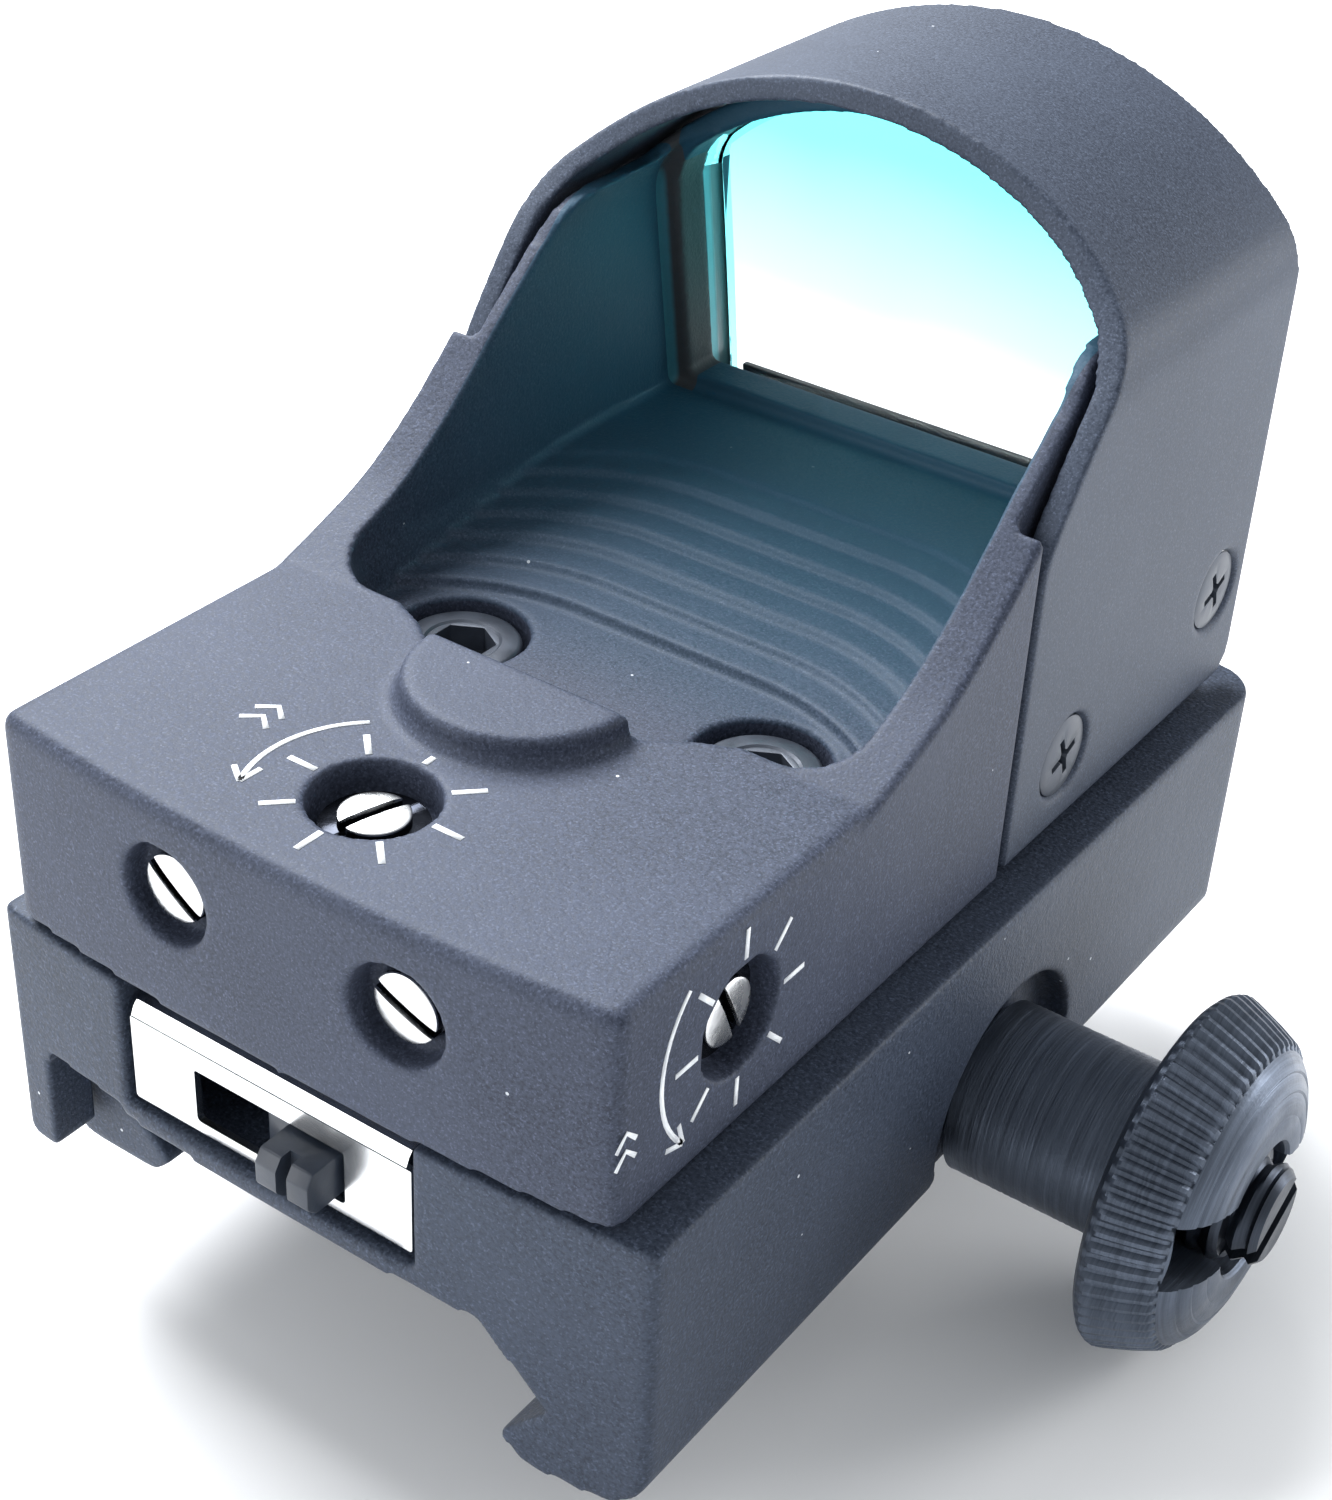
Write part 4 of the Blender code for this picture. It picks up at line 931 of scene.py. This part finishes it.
def make_switch():
    outline = rounded([(-7.3, 1.1, 0.12), (5.1, 1.1, 0.12), (5.1, 4.62, 0.05), (-7.3, 4.62, 0.05)], 3)
    face = prism(outline, "XZ", -22.0, -21.72, "face")
    window = rounded([(-4.4, 1.55, 0.2), (2.25, 1.55, 0.2), (2.25, 3.78, 0.12), (-4.4, 3.78, 0.12)], 4)
    cut(face, prism(window, "XZ", -25, -20))
    lip = prism([(-22.0, 4.5), (-21.72, 4.5), (-21.52, 5.0), (-21.3, 5.06), (-18.0, 5.06), (-18.0, 5.2),
                 (-21.35, 5.2), (-21.64, 5.14), (-21.8, 4.95)], "YZ", -7.3, 4.85)
    join(face, lip)
    bake(face)
    bake(bevel(face, 0.05, 2, 40))
    place(face, "switch_front", "sight", LOOKS["nickel"], ["switch_shell"], "nickel", 35)
    body = bake(bevel(box((-6.9, -20.0, 1.3), (4.7, -17.8, 4.6)), 0.25, 3))
    for x in (-5.0, -1.1, 2.8):
        join(body, bake(bevel(box((x - 0.7, -18.0, 1.8), (x + 0.7, -17.65, 2.6)), 0.08, 2)))
    place(bake(body), "switch_moulding", "sight", LOOKS["plastic"], ["switch_body"], "black_plastic", 35)
    slider = bake(bevel(box((-1.7, -21.4, 1.4), (3.4, -20.3, 4.5)), 0.12, 2))
    knob = prism(rounded([(-21.0, 1.8, 0), (-21.0, 3.6, 0), (-23.2, 3.55, 0.12), (-23.5, 3.1, 0.25),
                          (-23.5, 2.2, 0.3), (-23.1, 1.8, 0.3)], 4), "YZ", -0.3, 2.0)
    bake(bevel(knob, 0.08, 2))
    groove = box((0.62, -25, 1), (1.1, -22.75, 5))
    join(slider, knob)
    cut(slider, groove)
    bake(slider)
    place(slider, "switch_knob", "power_switch", LOOKS["plastic"], ["switch_slider"], "black_plastic", 35)


# ---------------------------------------------------------------- painted marks

def stroke(points, width, plane, at, thick=0.02):
    """A painted line of constant width along the points."""
    left, right = [], []
    for i, here in enumerate(points):
        a = Vector(points[max(0, i - 1)])
        b = Vector(points[min(len(points) - 1, i + 1)])
        side = (b - a).orthogonal().normalized() * width / 2
        left.append(tuple(Vector(here) + side))
        right.append(tuple(Vector(here) - side))
    return prism([*left, *reversed(right)], plane, at, at + thick)


def merged(pieces, name):
    shape = bmesh.new()
    for piece in pieces:
        shape.from_mesh(piece.data)
    return scratch(name, finish_mesh(shape, name))


def turning_arrow(centre, radius, start, end, plane, at):
    """An arc about a screw, with an open arrowhead at its end."""
    strokes = [stroke(arc(centre, radius, start, end, 16), 0.20, plane, at)]
    tip = Vector(arc(centre, radius, start, end + 1.5, 2)[-1])
    for spread in (-28, 28):
        away = math.radians(end - 90 + spread)
        barb = tip + 0.95 * Vector((math.cos(away), math.sin(away)))
        strokes.append(stroke([tuple(barb), tuple(tip)], 0.20, plane, at))
    return strokes


def rays(centre, radii, width, plane, at):
    """Eight short lines pointing away from a screw."""
    strokes = []
    for k in range(8):
        a = math.radians(45 * k)
        points = [(centre[0] + r * math.cos(a), centre[1] + r * math.sin(a)) for r in radii]
        strokes.append(stroke(points, width, plane, at))
    return strokes


def chevron(left, width, plane, at, half, rise):
    """A small pointed mark, open below, from its left foot."""
    u, v = left
    return stroke([(u, v), (u + half, v + rise), (u + 2 * half, v)], width, plane, at)


def make_marks():
    top = rays(ELEVATION, (2.45, 3.0, 3.6), 0.23, "XY", DECK)
    top += turning_arrow(ELEVATION, 4.35, 133, 206, "XY", DECK)
    top += [chevron((-6.5, -16.5 + shift), 0.21, "XY", DECK, 0.6, 0.5) for shift in (-0.4, 0.35)]
    place(merged(top, "top"), "elevation_marks", "sight", LOOKS["paint"])
    wall = SIDE_WALL - 0.005
    side = rays(WINDAGE, (2.35, 2.9, 3.5), 0.20, "YZ", wall)
    side += turning_arrow(WINDAGE, 4.2, 135, 225, "YZ", wall)
    side += [chevron((-21.7, 9.1 + shift), 0.19, "YZ", wall, 0.5, 0.5) for shift in (-0.35, 0.35)]
    place(merged(side, "side"), "windage_marks", "sight", LOOKS["paint"])


# ---------------------------------------------------------------- the rest of the frame's own nodes

CARRIED = {
    "brass": ("windage_block", "elevation_arm", "contact_positive", "contact_negative",
              "switch_terminal_a", "switch_terminal_b", "switch_terminal_c"),
    "spring": ("elevation_spring", "windage_spring"),
    "board": ("led_board", "circuit_board"),
    "red": ("led_emitter",),
    "pane": ("emitter_window",),
    "plastic": ("driver_chip",),
    "cell": ("battery",),
    "rubber": ("base_seal",),
}


def dress_nodes():
    for look, nodes in CARRIED.items():
        for node in nodes:
            mesh = frame["nodes"][node].data
            mesh.materials.clear()
            mesh.materials.append(LOOKS[look])


# ---------------------------------------------------------------- stage, lights and camera

def area_light(name, location, target, size, power, colour=(1, 1, 1)):
    data = bpy.data.lights.new(name, "AREA")
    data.shape = "RECTANGLE"
    data.size = data.size_y = size
    data.energy = power
    data.color = colour
    light = bpy.data.objects.new(name, data)
    bpy.context.scene.collection.objects.link(light)
    light.location = location
    light.rotation_euler = (Vector(target) - Vector(location)).to_track_quat("-Z", "Y").to_euler()


def make_floor():
    """A pale floor just under the lowest point of the sight."""
    bottom, gap = cad_bounds[0][2], 0.0004
    shape = bmesh.new()
    bmesh.ops.create_grid(shape, x_segments=1, y_segments=1, size=1.2)
    floor = scratch("floor", finish_mesh(shape, "floor"))
    SCRATCH.objects.unlink(floor)
    bpy.context.scene.collection.objects.link(floor)
    floor.hide_render = False
    floor.location = (0, 0, bottom - gap)
    look = Look("pale_floor", (0.97, 0.975, 0.98), 0.7, 0.0)
    cloud = look.noise(0.004, 2.0)
    look.use("Base Color", look.mix(cloud, (0.96, 0.965, 0.97), (0.98, 0.985, 0.99)))
    floor.data.materials.append(look.made)


def make_lights():
    world = bpy.data.worlds.new("studio")
    bpy.context.scene.world = world
    world.use_nodes = True
    background = world.node_tree.nodes["Background"]
    background.inputs["Color"].default_value = (0.94, 0.97, 1.0, 1.0)
    background.inputs["Strength"].default_value = 0.58

    middle = (0, 0, 0.01)
    area_light("key", (-0.15, 0.06, 0.20), middle, 0.18, 1.70, (0.97, 0.98, 1.0))
    area_light("rear_fill", (-0.16, -0.26, 0.10), middle, 0.22, 0.50)
    area_light("front_right", (0.11, 0.12, 0.05), (0.012, 0.020, 0.008), 0.06, 0.14)
    bpy.context.scene.view_settings.view_transform = "Standard"


def make_camera():
    """Behind the sight, to its right and above it, with a slight roll."""
    data = bpy.data.cameras.new("camera")
    data.sensor_width = 36.0
    data.lens = 61.73
    data.shift_x = -0.0247
    data.shift_y = 0.0147
    data.clip_start = 0.005
    data.clip_end = 10.0
    camera = bpy.data.objects.new("camera", data)
    bpy.context.scene.collection.objects.link(camera)
    aside, above, roll = (math.radians(angle) for angle in (33.105, 33.748, 3.607))
    spin = Matrix.Rotation(aside, 4, "Z") @ Matrix.Rotation(math.pi / 2 - above, 4, "X")
    spin = spin @ Matrix.Rotation(roll, 4, "Z")
    camera.matrix_world = Matrix.Translation(Vector((45.013, -67.826, 60.697)) * MM) @ spin
    bpy.context.scene.camera = camera


def build():
    make_housing()
    make_shield()
    for side in ("right", "left"):
        for end in SHIELD_SCREWS:
            make_shield_screw(side, end)
    make_lens()
    make_lens_seal()
    make_screws()
    make_base()
    make_jaw()
    make_bolt()
    make_nut()
    make_switch()
    make_marks()
    dress_nodes()
    make_floor()
    make_lights()
    make_camera()
    for spare in list(SCRATCH.objects):
        bpy.data.objects.remove(spare, do_unlink=True)
    bpy.data.collections.remove(SCRATCH)


build()
